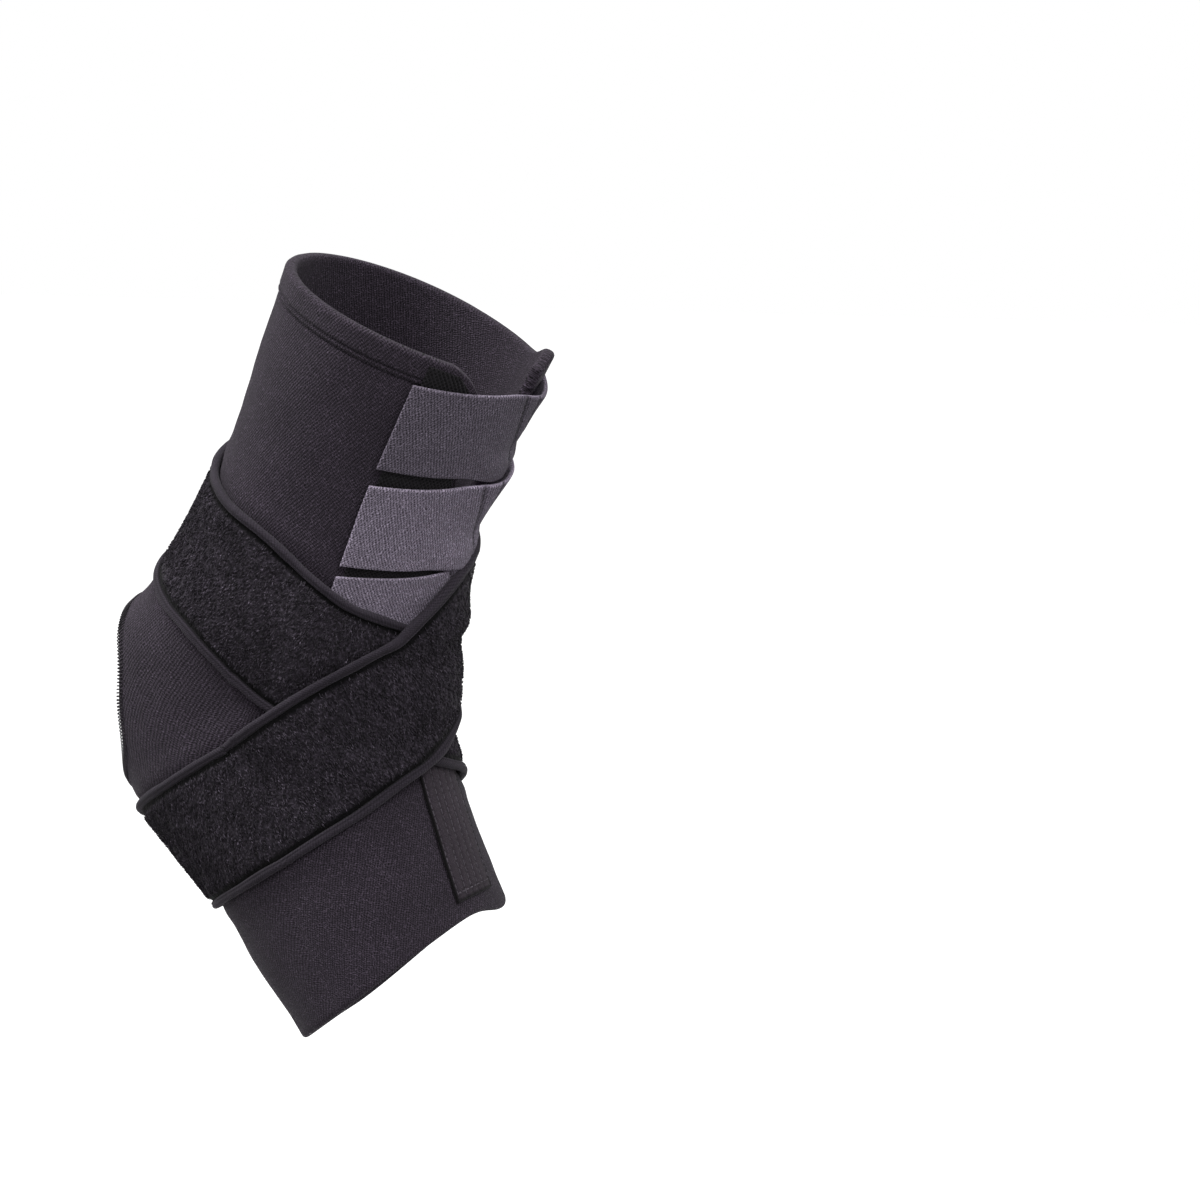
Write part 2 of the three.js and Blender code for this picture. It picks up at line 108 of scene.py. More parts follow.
def curve_through(keys: Array, values: Array, place: Array) -> Array:
    """A smooth curve through a table: cubic Hermite pieces with slopes taken from the neighbours.

    Args:
        keys: rising places of the rows, one for each row.
        values: the rows' values, one column for each quantity.
        place: where the curve is wanted.

    Returns:
        The values at each place, with the quantities last.
    """
    last = len(keys) - 1
    i = np.clip(np.searchsorted(keys, place) - 1, 0, last - 1)
    before, after = np.maximum(i - 1, 0), np.minimum(i + 2, last)
    span = keys[i + 1] - keys[i]
    slope_a = (values[i + 1] - values[before]) / (keys[i + 1] - keys[before])[..., None]
    slope_b = (values[after] - values[i]) / (keys[after] - keys[i])[..., None]
    t = np.clip((place - keys[i]) / span, 0, 1)[..., None]
    span = span[..., None]
    return (
        (2 * t**3 - 3 * t**2 + 1) * values[i]
        + (t**3 - 2 * t**2 + t) * span * slope_a
        + (3 * t**2 - 2 * t**3) * values[i + 1]
        + (t**3 - t**2) * span * slope_b
    )


def spread(length: float, step: float) -> Array:
    """Places from 0 to length, close together near both ends and step apart between them.

    Args:
        length: the whole length.
        step: distance between places in the middle.

    Returns:
        The places.
    """
    near = np.array([0, 0.12, 0.4, 0.9, 1.6])
    count = max(int((length - 3.2) / step), 1)
    return np.concatenate([near, np.linspace(1.6, length - 1.6, count + 1)[1:-1], length - near[::-1]])


def pinch(edge: Array, radius: float) -> Array:
    """How much of its thickness a sheet keeps at a distance from its edge: a quarter circle."""
    t = np.clip(edge / radius, 0, 1)
    return 0.18 + 0.82 * np.sqrt(np.maximum(1 - (1 - t) ** 2, 0))


# The table of sections: along as a share of the cuff's height above the origin and of the foot
# part's reach below it, front and back as shares of the form's depth, side as a share of its width,
# squareness of the back half and twist in degrees.
SECTIONS = np.array(
    [
        (-1.2, 0.615, 0.545, 0.575, 2, 0),
        (-1.04, 0.6, 0.53, 0.55, 2, 0),
        (-0.78, 0.57, 0.505, 0.52, 2, 0),
        (-0.52, 0.555, 0.475, 0.5, 2, 0),
        (-0.31, 0.59, 0.46, 0.505, 2, 0),
        (-0.125, 0.6, 0.54, 0.52, 2, 1),
        (0, 0.6, 0.69, 0.535, 2, 2),
        (0.095, 0.6, 0.92, 0.54, 2, 3),
        (0.21, 0.59, 1.0, 0.545, 2.1, 4),
        (0.345, 0.55, 0.86, 0.56, 2.2, 5),
        (0.48, 0.54, 0.67, 0.58, 2.4, 6),
        (0.61, 0.515, 0.545, 0.6, 2.5, 8),
        (0.79, 0.44, 0.5, 0.63, 2.6, 10),
        (0.96, 0.375, 0.42, 0.65, 2.6, 11),
        (1.15, 0.35, 0.37, 0.66, 2.6, 12),
    ]
)


@dataclass(frozen=True)
class Form:
    """The form that the brace is shaped to."""

    cuff_height: float = 110
    foot_reach: float = 130
    upper_tilt: float = 25
    lower_pitch: float = 60
    bend_above: float = 40
    bend_below: float = 80
    depth: float = 76
    width: float = 66
    side_rise: float = 2.5
    side_reach: float = 16

    @property
    def turn_per_mm(self) -> float:
        """Degrees that one millimetre round the upper front is."""
        return 180 / (math.pi * self.depth * 0.6)

    def spine(self, along: Array) -> tuple[Array, Array, Array]:
        """Heading, x and z of the centre line: a straight, a round bend and a straight.

        Args:
            along: distances along the form.

        Returns:
            Headings in radians, x and z.
        """
        upper, lower = math.radians(-90 - self.upper_tilt), math.radians(-self.lower_pitch)
        radius = (self.bend_above + self.bend_below) / (lower - upper)
        middle = upper + self.bend_above / radius
        bent = np.clip(along, -self.bend_above, self.bend_below)
        heading = middle + bent / radius
        beyond = along - bent
        x = radius * (np.sin(heading) - math.sin(middle)) + beyond * np.cos(heading)
        z = radius * (math.cos(middle) - np.cos(heading)) + beyond * np.sin(heading)
        return heading, x, z

    def point(self, along: Array, turn: Array) -> Array:
        """The form's surface: half ellipses in front and half superellipses behind, on the spine.

        Args:
            along: distances down the spine.
            turn: angles round it.

        Returns:
            Points with x, y and z last.
        """
        along, turn = np.broadcast_arrays(np.asarray(along, float), np.asarray(turn, float))
        heading, x, z = self.spine(along)
        share = along / np.where(along < 0, self.cuff_height, self.foot_reach)
        rows = curve_through(SECTIONS[:, 0], SECTIONS[:, 1:], share)
        front, back, side, squareness, twist = np.moveaxis(rows, -1, 0)
        c, s = np.cos(np.radians(turn)), np.sin(np.radians(turn))
        exponent = np.where(c > 0, 1, 2 / squareness)
        deep = self.depth * np.where(c > 0, front, back) * power(c, exponent)
        rise = self.side_rise * dents(along, (0,), self.side_reach) * s**6
        wide = (self.width * side + rise) * power(s, exponent)
        twist = np.radians(twist)
        forward = deep * np.cos(twist) - wide * np.sin(twist)
        outward = wide * np.cos(twist) + deep * np.sin(twist)
        return np.stack(
            [x - forward * np.sin(heading), -outward, z + forward * np.cos(heading)], axis=-1
        )

    def surface(self, along: Array, turn: Array) -> tuple[Array, Array, Array]:
        """The steps of one millimetre along and one degree round, and the normal, from differences.

        Args:
            along: distances along the form.
            turn: angles round the form.

        Returns:
            Both steps and the unit normals, with x, y and z last.
        """
        down = self.point(along + 0.5, turn) - self.point(along - 0.5, turn)
        round_ = self.point(along, turn + 0.5) - self.point(along, turn - 0.5)
        return down, round_, unit(np.cross(round_, down))

    def lifted(self, along: Array, turn: Array, height: Array) -> Array:
        """Points raised off the form along its normal."""
        normal = self.surface(along, turn)[2]
        return self.point(along, turn) + normal * np.asarray(height)[..., None]

    def girth(self, along: Array) -> Array:
        """Millimetres that one degree of turn is, as a mean over the section.

        Args:
            along: distances along the form.

        Returns:
            Millimetres for each degree.
        """
        share = along / np.where(along < 0, self.cuff_height, self.foot_reach)
        rows = curve_through(SECTIONS[:, 0], SECTIONS[:, 1:4], share)
        mean = (self.depth * (rows[..., 0] + rows[..., 1]) / 2 + self.width * rows[..., 2]) / 2
        return np.radians(mean)


@dataclass(frozen=True)
class Layers:
    """Thicknesses of what lies on the form, and where the flat layers are."""

    wall: float = 3.5
    gap: float = 0.15
    patch: float = 1.1
    tab: float = 1.6
    tape: float = 1.3
    strap: float = 3.0
    hook: float = 1.2
    crossing_gap: float = 0.35
    top_dip: float = 2
    flap_peak: float = 7
    flap_peak_turn: float = -17
    flap_sharpness: float = 30
    toe_lean: float = 4.5
    toe_slant: float = 5
    toe_flare: float = 5
    flare_turn: float = -34
    flare_sharpness: float = 12
    slit_foot: float = 8
    slit_outer: float = 33
    slit_inner: float = -2
    slit_bottom: float = 6
    slit_closing: float = -6
    slit_bend: float = 1.6
    slit_corner: float = 12
    slit_corner_width: float = 17
    free_turn: float = 60
    root_turn: float = -30
    tab_width: float = 31
    tape_top: float = 22
    tape_bottom: float = 115
    tape_top_turn: float = 3
    tape_bottom_turn: float = -6
    tape_span: float = 29
    easing: tuple[float, float] = (1, 16)

    @property
    def tab_base(self) -> float:
        """Height of the tabs' underside over the loop patch."""
        return self.wall + self.patch + 2 * self.gap

    def top_rim(self, turn: Array) -> Array:
        """Where the cuff ends: it dips on the outer side, and the inner flap's corner stands up."""
        peak = np.maximum(np.cos(np.radians(turn - self.flap_peak_turn)), 0) ** self.flap_sharpness
        return -FORM.cuff_height + self.top_dip * np.sin(np.radians(turn)) - self.flap_peak * peak

    def toe_rim(self, turn: Array) -> Array:
        """Where the foot part ends: shorter on the instep, longer on the outer side.

        Args:
            turn: angles round the form.

        Returns:
            Distances along the form.
        """
        c, s = np.cos(np.radians(turn)), np.sin(np.radians(turn))
        flare = np.maximum(np.cos(np.radians(turn - self.flare_turn)), 0) ** self.flare_sharpness
        return FORM.foot_reach - self.toe_lean * c - self.toe_slant * (1 - s) + self.toe_flare * flare

    def slit_edge(self, along: Array) -> Array:
        """The outer edge of the slit: a slanted line with a quarter circle at the top rim.

        Args:
            along: distances along the form.

        Returns:
            Angles round the form.
        """
        up = np.clip(-along / FORM.cuff_height, 0, 1) ** self.slit_bend
        slanted = between(self.slit_bottom, self.slit_outer, up)
        rim = self.top_rim(np.array(self.slit_outer))
        corner = np.clip((self.slit_corner - along + rim) / self.slit_corner, 0, 1)
        rounded = 1 - np.sqrt(1 - corner**2)
        return slanted + self.slit_corner_width * FORM.turn_per_mm * rounded

    def opened(self, along: Array) -> Array:
        """The sleeve's outer end round the form: the slit's edge, closed up below the slit."""
        closing = smooth(along, self.slit_closing, self.slit_foot)
        return between(self.slit_edge(along), self.slit_inner, closing)

    def tab_middle(self, tab: "Tab", turn: Array) -> Array:
        """The middle line of a tab: straight from its free end to its root."""
        share = (self.free_turn - turn) / (self.free_turn - self.root_turn)
        return FORM.cuff_height * between(tab.free, tab.root, share)

    def tape_middle(self, along: Array) -> Array:
        """The angle of the tape's middle line, which slants across the instep."""
        share = (along - self.tape_top) / (self.tape_bottom - self.tape_top)
        return between(self.tape_top_turn, self.tape_bottom_turn, share)

    def under_strap(self, along: Array, turn: Array) -> Array:
        """What tabs and tape add under the strap, eased out beyond their edges.

        Args:
            along: distances along the form.
            turn: angles round the form.

        Returns:
            Heights to add.
        """
        turn = turn - 360 * np.round(turn / 360)
        per = FORM.turn_per_mm
        tabs = np.zeros(np.broadcast(along, turn).shape)
        for tab in TABS:
            past = np.maximum(
                np.abs(along - self.tab_middle(tab, turn)) - self.tab_width / 2,
                np.maximum((turn - self.free_turn) / per, (self.root_turn - turn) / per),
            )
            tabs = np.maximum(tabs, 1 - smooth(past, *self.easing))
        past = np.maximum(
            (np.abs(turn - self.tape_middle(along)) - self.tape_span / 2) / per,
            np.maximum(self.tape_top - along, along - self.tape_bottom),
        )
        tape = 1 - smooth(past, *self.easing)
        return np.maximum((self.patch + self.tab + 2 * self.gap) * tabs, (self.tape + self.gap) * tape)


@dataclass(frozen=True)
class Tab:
    """One closing tab: its middle line at the free end and at the root, and its bulge."""

    name: str
    node: str
    free: float
    root: float
    bulge: float


TABS = (
    Tab("closing_tab_upper", "tab_upper", -0.755, -0.875, 0.4),
    Tab("closing_tab_middle", "tab_middle", -0.418, -0.585, 1.0),
    Tab("closing_tab_lower", "tab_lower", -0.095, -0.295, 0.35),
)
FORM = Form()
LAYERS = Layers()

# The strap's middle line from its free end on top to its sewn end below: turn, which counts on
# past full circles, and along as in SECTIONS.
STRAP_PATH = np.array(
    [
        (-518, -0.268),
        (-480, -0.255),
        (-450, -0.236),
        (-420, -0.21),
        (-395, -0.155),
        (-375, -0.064),
        (-357, 0.144),
        (-339, 0.247),
        (-320, 0.322),
        (-299, 0.391),
        (-265, 0.455),
        (-240, 0.477),
        (-212, 0.485),
        (-180, 0.492),
        (-150, 0.489),
        (-120, 0.47),
        (-95, 0.44),
        (-70, 0.41),
        (-45, 0.365),
        (-15, 0.295),
        (6, 0.232),
        (29, 0.17),
        (45, 0.117),
        (60, 0.068),
        (80, -0.027),
        (100, -0.105),
        (125, -0.145),
        (150, -0.178),
        (182, -0.225),
        (215, -0.265),
        (245, -0.285),
    ]
)


class StrapRoute:
    """The line that the strap is wound along, and the heights of what it lies on."""

    AT_ONCE = 4000
    NOWHERE = 1e3

    def __init__(self, width: float = 45, lap: float = 1.5, ramp: float = 20, hook_turn: float = 40) -> None:
        """Measures the middle line once.

        Args:
            width: the strap's width.
            lap: how far past an edge below it the strap stays up.
            ramp: over what length it then comes down.
            hook_turn: degrees of winding with the hook pad under them.
        """
        self.width, self.lap, self.ramp, self.hook_turn = width, lap, ramp, hook_turn
        self.end, self.start = STRAP_PATH[0, 0], STRAP_PATH[-1, 0]
        self.turns = np.linspace(self.start, self.end, 1400)
        self.points = FORM.lifted(self.along(self.turns), self.turns, LAYERS.wall)
        self.lengths = running(self.points)

    def along(self, wound: Array) -> Array:
        """The middle line's distance along the form at an angle of winding.

        Args:
            wound: angles of winding.

        Returns:
            Distances along the form.
        """
        reach = np.where(STRAP_PATH[:, 1] < 0, FORM.cuff_height, FORM.foot_reach)
        values = (STRAP_PATH[:, 1] * reach)[:, None]
        return curve_through(STRAP_PATH[:, 0], values, wound)[..., 0]

    def wound_at(self, length: Array) -> Array:
        """The angle of winding at a distance from the sewn end."""
        return np.interp(length, self.lengths, self.turns)

    def across(self, wound: Array, distance: Array) -> tuple[Array, Array]:
        """Walks over the surface square to the strap, in six equal steps.

        Args:
            wound: angles of winding.
            distance: distances from the middle line.

        Returns:
            Distances along the form and angles round it.
        """
        wound, distance = np.broadcast_arrays(wound, distance)
        along, turn = self.along(wound), wound.astype(float)
        ahead = FORM.point(self.along(wound - 1), wound - 1)
        tangent = ahead - FORM.point(self.along(wound + 1), wound + 1)
        heading = np.cross(tangent, FORM.surface(along, turn)[2])
        for _ in range(6):
            down, round_, normal = FORM.surface(along, turn)
            heading = heading - normal * (heading * normal).sum(-1, keepdims=True)
            heading = unit(heading)
            dd, rr, dr = (down**2).sum(-1), (round_**2).sum(-1), (down * round_).sum(-1)
            hd, hr = (heading * down).sum(-1), (heading * round_).sum(-1)
            whole = dd * rr - dr * dr
            along = along + (hd * rr - hr * dr) / whole * distance / 6
            turn = turn + (hr * dd - hd * dr) / whole * distance / 6
        return along, turn

    def nearest(self, points: Array, wound: Array | None, later: bool = False) -> Array:
        """Distance of points to the middle line of other windings.

        Args:
            points: the points.
            wound: each point's own angle of winding, or None for all windings.
            later: whether the windings over the point count, and not those under it.

        Returns:
            The distances, large where there is no such winding.
        """
        flat = points.reshape(-1, 3)
        own = None if wound is None else np.broadcast_to(wound, points.shape[:-1]).reshape(-1)
        least = np.empty(len(flat))
        line, turns = self.points[::2], self.turns[::2]
        for begin in range(0, len(flat), self.AT_ONCE):
            part = slice(begin, begin + self.AT_ONCE)
            far = np.linalg.norm(flat[part, None] - line[None], axis=-1)
            if own is not None:
                here = own[part, None]
                other = turns < here - 180 if later else turns > here + 180
                far = np.where(other, far, self.NOWHERE)
            least[part] = far.min(axis=1)
        return least.reshape(points.shape[:-1])

    def base(self, along: Array, turn: Array, wound: Array) -> Array:
        """Height of the strap's underside: the flat layers, its earlier windings and the hook pad.

        Args:
            along: distances along the form.
            turn: angles round the form.
            wound: angles of winding.

        Returns:
            Heights over the form.
        """
        points = FORM.lifted(along, turn, np.full(np.shape(along), LAYERS.wall))
        past = self.nearest(points, wound) - self.width / 2
        crossed = 1 - smooth(past, self.lap, self.lap + self.ramp)
        hooked = (wound - self.end - self.hook_turn) / FORM.turn_per_mm
        hooked = 1 - smooth(hooked, self.lap, self.lap + self.ramp)
        return (
            LAYERS.wall
            + LAYERS.gap
            + LAYERS.under_strap(along, turn)
            + (LAYERS.strap + LAYERS.crossing_gap) * crossed
            + (LAYERS.hook + LAYERS.gap) * hooked
        )


@dataclass
class Cloth:
    """A mesh in the making: points, quads, cloth coordinates in millimetres and a shade, a factor on the
    colour that carries painted shade and random tone.
    """

    points: Array
    faces: Array
    uv: Array
    shade: Array
    weld: Array | None = None

    def volume(self) -> float:
        """Six times the volume inside, negative if the faces point in."""
        a, b, c, d = (self.points[self.faces[:, k]] for k in range(4))
        return float((a * np.cross(b, c)).sum() + (a * np.cross(c, d)).sum())

    def made(self, name: str) -> bpy.types.Object:
        """Puts the arrays into a mesh object at the origin, facing out.

        Args:
            name: the piece's name.

        Returns:
            The mesh object.
        """
        faces = self.faces if self.volume() > 0 else self.faces[:, ::-1]
        corner = faces.reshape(-1)
        welded = self.weld[corner] if self.weld is not None else corner
        used, index = np.unique(welded, return_inverse=True)
        mesh = bpy.data.meshes.new(name)
        mesh.vertices.add(len(used))
        mesh.vertices.foreach_set("co", (self.points[used] / 1000).astype(np.float32).ravel())
        mesh.loops.add(len(corner))
        mesh.loops.foreach_set("vertex_index", index.astype(np.int32).ravel())
        mesh.polygons.add(len(faces))
        mesh.polygons.foreach_set("loop_start", np.arange(0, len(corner), 4, dtype=np.int32))
        mesh.polygons.foreach_set("use_smooth", np.ones(len(faces), bool))
        layer = mesh.uv_layers.new(name=CLOTH_MAP)
        layer.data.foreach_set("uv", self.uv[corner].astype(np.float32).ravel())
        shade = mesh.attributes.new(SHADE, "FLOAT", "POINT")
        shade.data.foreach_set("value", self.shade[used].astype(np.float32))
        mesh.update(calc_edges=True)
        mesh.validate()
        made = bpy.data.objects.new(name, mesh)
        bpy.context.scene.collection.objects.link(made)
        return made


def quads(index: Array) -> Array:
    """The quads of a grid of point numbers."""
    a, b, c, d = index[:-1, :-1], index[1:, :-1], index[1:, 1:], index[:-1, 1:]
    return np.stack([a, b, c, d], axis=-1).reshape(-1, 4)


def slab(
    along: Array,
    turn: Array,
    low: Array,
    high: Array,
    edge: Array,
    uv: Array,
    radius: float = 0.8,
    shade: Array | None = None,
) -> Cloth:
    """A closed sheet with rounded edges: a top and a bottom grid joined round the border.

    Args:
        along: the grid's distances along the form.
        turn: its angles round the form.
        low: heights of the underside.
        high: heights of the upper side.
        edge: distance of each place to the nearest edge.
        uv: cloth coordinates of each place.
        radius: radius of the edges.
        shade: factor on the colour of each place on the upper side, which carries painted shade, 1 if left
            out.

    Returns:
        The cloth.
    """
    rows, columns = along.shape
    middle, half = (low + high) / 2, (high - low) / 2 * pinch(edge, radius)
    top = FORM.lifted(along, turn, middle + half)
    bottom = FORM.lifted(along, turn, middle - half)
    points = np.concatenate([top.reshape(-1, 3), bottom.reshape(-1, 3)])
    upper = np.arange(rows * columns).reshape(rows, columns)
    lower = upper + rows * columns
    faces = [quads(upper), quads(lower)[:, ::-1]]
    for line in (upper[:, 0], upper[-1], upper[::-1, -1], upper[0, ::-1]):
        pair = np.stack([line + rows * columns, line])
        faces.append(quads(pair)[:, ::-1])
    ones = np.ones(rows * columns)
    above = ones if shade is None else np.broadcast_to(shade, along.shape).reshape(-1)
    both = np.concatenate([uv.reshape(-1, 2)] * 2)
    return Cloth(points, np.concatenate(faces), both, np.concatenate([above, ones]))


def ringed(rings: Array, lengths: Array, shade: Array | None = None) -> Cloth:
    """A skin over rings of points with an even number each, closed by strips at both ends.

    Args:
        rings: points of each ring, ring by ring.
        lengths: each ring's place along the piece.
        shade: factor on the colour of each point, which carries painted shade, 1 if left out.

    Returns:
        The cloth.
    """
    rows, count = rings.shape[:2]
    closed = np.concatenate([rings, rings[:, :1]], axis=1)
    index = np.arange(rows * (count + 1)).reshape(rows, count + 1)
    weld = index.copy()
    weld[:, -1] = weld[:, 0]
    ends = []
    for row, turn in ((index[0], 1), (index[-1], -1)):
        pair = np.stack([row[: count // 2], row[count // 2 : count][::-1]])
        ends.append(quads(pair)[:, ::turn])
    girth = np.linalg.norm(np.diff(closed, axis=1), axis=-1)
    girth = np.concatenate([np.zeros((rows, 1)), np.cumsum(girth, axis=1)], axis=1)
    uv = np.stack([np.broadcast_to(lengths[:, None], girth.shape), girth], axis=-1)
    tone = np.ones((rows, count)) if shade is None else shade
    tone = np.concatenate([tone, tone[:, :1]], axis=1)
    return Cloth(
        closed.reshape(-1, 3),
        np.concatenate([quads(index), *ends]),
        uv.reshape(-1, 2),
        tone.reshape(-1),
        weld.reshape(-1),
    )


def copies(
    seed: Array, faces: Array, frames: Array, centres: Array, scale: Array, shade: Array
) -> Cloth:
    """Many small copies of one shape in one mesh.

    Args:
        seed: the shape's points.
        faces: its quads.
        frames: for each copy the directions of the shape's three axes.
        centres: where each copy goes.
        scale: each copy's size along its three axes.
        shade: each copy's brightness.

    Returns:
        The cloth.
    """
    points = np.einsum("nk,ck,ckj->cnj", seed, scale, frames) + centres[:, None]
    count = len(seed)
    index = (faces[None] + (np.arange(len(centres)) * count)[:, None, None]).reshape(-1, 4)
    uv = np.repeat(centres[:, :2], count, axis=0)
    return Cloth(points.reshape(-1, 3), index, uv, np.repeat(shade, count))


def capsule(sides: int) -> tuple[Array, Array]:
    """A thread's shape, one long and one across: five rings, the outer ones smaller.

    Args:
        sides: number of points in a ring.

    Returns:
        Its points and quads.
    """
    angles = 2 * np.pi * np.arange(sides) / sides
    rings = [
        np.stack([np.full(sides, x), r * np.cos(angles) / 2, r * np.sin(angles) / 2], axis=1)
        for x, r in ((-0.5, 0.35), (-0.38, 0.85), (0.0, 1.0), (0.38, 0.85), (0.5, 0.35))
    ]
    index = np.arange(5 * sides).reshape(5, sides)
    ring = np.concatenate([index, index[:, :1]], axis=1)
    caps = [
        quads(np.stack([row[: sides // 2], row[sides // 2 :][::-1]]))[:, ::turn]
        for row, turn in ((index[0], 1), (index[-1], -1))
    ]
    return np.concatenate(rings), np.concatenate([quads(ring), *caps])


def grain() -> tuple[Array, Array]:
    """A loop of pile: a curl of two bent lengths with a square section, closed at both ends.

    Returns:
        Its points and quads.
    """
    bend = np.radians(np.array([-75, 0, 75]))
    rings = []
    for angle, size in zip(bend, (0.5, 1, 0.5)):
        centre = np.array([np.sin(angle) / 2, 0, np.cos(angle) - 0.3])
        out = np.array([np.sin(angle), 0, np.cos(angle)]) * 0.18 * size
        side = np.array([0, 0.5, 0]) * size
        rings.append([centre + out, centre + side, centre - out, centre - side])
    index = np.arange(12).reshape(3, 4)
    ring = np.concatenate([index, index[:, :1]], axis=1)
    return np.concatenate(rings), np.concatenate([quads(ring), [index[0]], [index[-1][::-1]]])


def read_at(places: Array, lengths: Array, vectors: Array) -> Array:
    """The vectors along a line, read between its points at the given lengths."""
    return np.stack([np.interp(places, lengths, vectors[:, k]) for k in range(3)], axis=1)


def stitched(
    paths: list[tuple[Array, Array, Array]], pitch: float, thread: float, sink: float
) -> Cloth:
    """Rows of stitches: a capsule of thread every pitch along each path.

    Args:
        paths: for each row its along, turn and height at close places.
        pitch: distance from stitch to stitch.
        thread: thickness of the thread.
        sink: how deep the thread's middle lies in the cloth.

    Returns:
        The cloth.
    """
    seed, faces = capsule(6)
    centres, frames = [], []
    for along, turn, height in paths:
        points = FORM.lifted(along, turn, height - sink)
        normals = FORM.surface(along, turn)[2]
        lengths = running(points)
        places = np.arange(pitch / 2, lengths[-1], pitch)
        x = unit(read_at(places + 0.3, lengths, points) - read_at(places - 0.3, lengths, points))
        y = unit(np.cross(read_at(places, lengths, normals), x))
        frames.append(np.stack([x, y, np.cross(x, y)], axis=1))
        centres.append(read_at(places, lengths, points))
    centre = np.concatenate(centres)
    count = len(centre)
    rng = np.random.default_rng(count)
    scale = np.array([pitch * 0.78, thread, thread * 0.8]) * rng.uniform(0.9, 1.1, (count, 3))
    return copies(seed, faces, np.concatenate(frames), centre, scale, rng.uniform(0.85, 1.15, count))


class Pattern(Enum):
    """How the surface of a cloth is made."""

    WEAVE = "weave"
    MESH = "mesh"
    PILE = "pile"
    THREAD = "thread"


@dataclass(frozen=True)
class Finish:
    """A cloth's colour, in linear light, and surface. Lengths are millimetres."""

    name: str
    slot: str
    pattern: Pattern
    colour: tuple[float, float, float]
    pitch: float = 1.0
    stretch: float = 1.0
    slant: float = 0.0
    relief: float = 0.1
    # How much lighter the raised threads and darker the hollows are: partly the pattern's own tone, partly
    # painted shade in the hollows.
    contrast: float = 0.5
    fleck: float = 0.0
    fleck_size: float = 0.6
    mottle: float = 0.2
    roughness: float = 0.85
    sheen: float = 0.05


JERSEY = Finish(
    "charcoal_jersey", "neoprene", Pattern.WEAVE, (0.0266, 0.0208, 0.0292),
    stretch=1.1, slant=0.5, relief=0.24, contrast=0.9, fleck=1.1,
)
LOOPS = Finish(
    "loop_mesh", "loop_mesh", Pattern.MESH, (0.009, 0.008, 0.0095),
    pitch=1.5, stretch=1.2, relief=0.25, contrast=0.7, fleck=0.3, fleck_size=0.8,
)
TRICOT = Finish(
    "grey_tricot", "tricot", Pattern.WEAVE, (0.155, 0.133, 0.173),
    stretch=1.6, slant=0.35, relief=0.22, contrast=0.85, fleck=1.0, fleck_size=0.5, mottle=0.08, sheen=0.06,
)
TAPE = Finish(
    "charcoal_tape", "ribbon", Pattern.WEAVE, (0.036, 0.0285, 0.0365),
    pitch=0.8, contrast=0.4, fleck=0.5,
)
PILE = Finish(
    "dark_pile", "pile", Pattern.PILE, (0.043, 0.036, 0.0475),
    stretch=1.4, relief=0.35, contrast=0.7, fleck=0.6, fleck_size=0.8, mottle=0.35, roughness=1.0,
)
BINDING = Finish(
    "charcoal_binding", "binding", Pattern.WEAVE, (0.0262, 0.0216, 0.0292),
    pitch=0.9, slant=0.4, relief=0.12, fleck=0.3,
)
HOOK = Finish(
    "hook_tape", "hook", Pattern.PILE, (0.008, 0.008, 0.009),
    pitch=0.9, relief=0.2, fleck=0.2,
)
DARK_THREAD = Finish(
    "dark_thread", "neoprene", Pattern.THREAD, (0.017, 0.014, 0.018),
    pitch=0.4, slant=1, relief=0.05, contrast=0.3, sheen=0.1,
)
GREY_THREAD = replace(DARK_THREAD, name="grey_thread", slot="ribbon", colour=(0.085, 0.073, 0.09))


class Tree:
    """Short calls that add nodes to a shader or group tree."""

    def __init__(self, tree: bpy.types.NodeTree) -> None:
        """Keeps the tree."""
        self.tree = tree

    def add(self, kind: str, **settings: object) -> bpy.types.Node:
        """Adds a node and sets its properties.

        Args:
            kind: the node's type.
            settings: its properties by name.

        Returns:
            The node.
        """
        node = self.tree.nodes.new(kind)
        for key, value in settings.items():
            setattr(node, key, value)
        return node

    def join(self, source: Socket, target: Socket) -> None:
        """Links two sockets."""
        self.tree.links.new(source, target)

    def feed(self, socket: Socket, value: Value) -> None:
        """Links a socket to a value, or sets it if the value is a number.

        Args:
            socket: an input.
            value: what it gets.
        """
        if isinstance(value, Socket):
            self.join(value, socket)
        else:
            socket.default_value = value

    def math(self, operation: str, *values: Value) -> Socket:
        """A Math node on sockets or numbers.

        Args:
            operation: what the node does.
            values: its inputs in order.

        Returns:
            Its output.
        """
        node = self.add("ShaderNodeMath", operation=operation)
        for socket, value in zip(node.inputs, values):
            self.feed(socket, value)
        return node.outputs[0]

    def noise(self, where: Socket, scale: Value, detail: float) -> Socket:
        """A Noise Texture's value.

        Args:
            where: coordinates.
            scale: the noise's scale.
            detail: its number of octaves.

        Returns:
            Its output.
        """
        node = self.add("ShaderNodeTexNoise")
        self.join(where, node.inputs["Vector"])
        self.feed(node.inputs["Scale"], scale)
        node.inputs["Detail"].default_value = detail
        return node.outputs["Fac"]

    def ranged(
        self, value: Socket, low: float, high: float, start: Value = 0.0, stop: Value = 1.0
    ) -> Socket:
        """A Map Range node, clamped.

        Args:
            value: what is mapped.
            low: the value that gives start.
            high: the value that gives stop.
            start: result at low.
            stop: result at high.

        Returns:
            Its output.
        """
        node = self.add("ShaderNodeMapRange")
        for socket, given in zip(node.inputs, (value, low, high, start, stop)):
            self.feed(socket, given)
        return node.outputs[0]


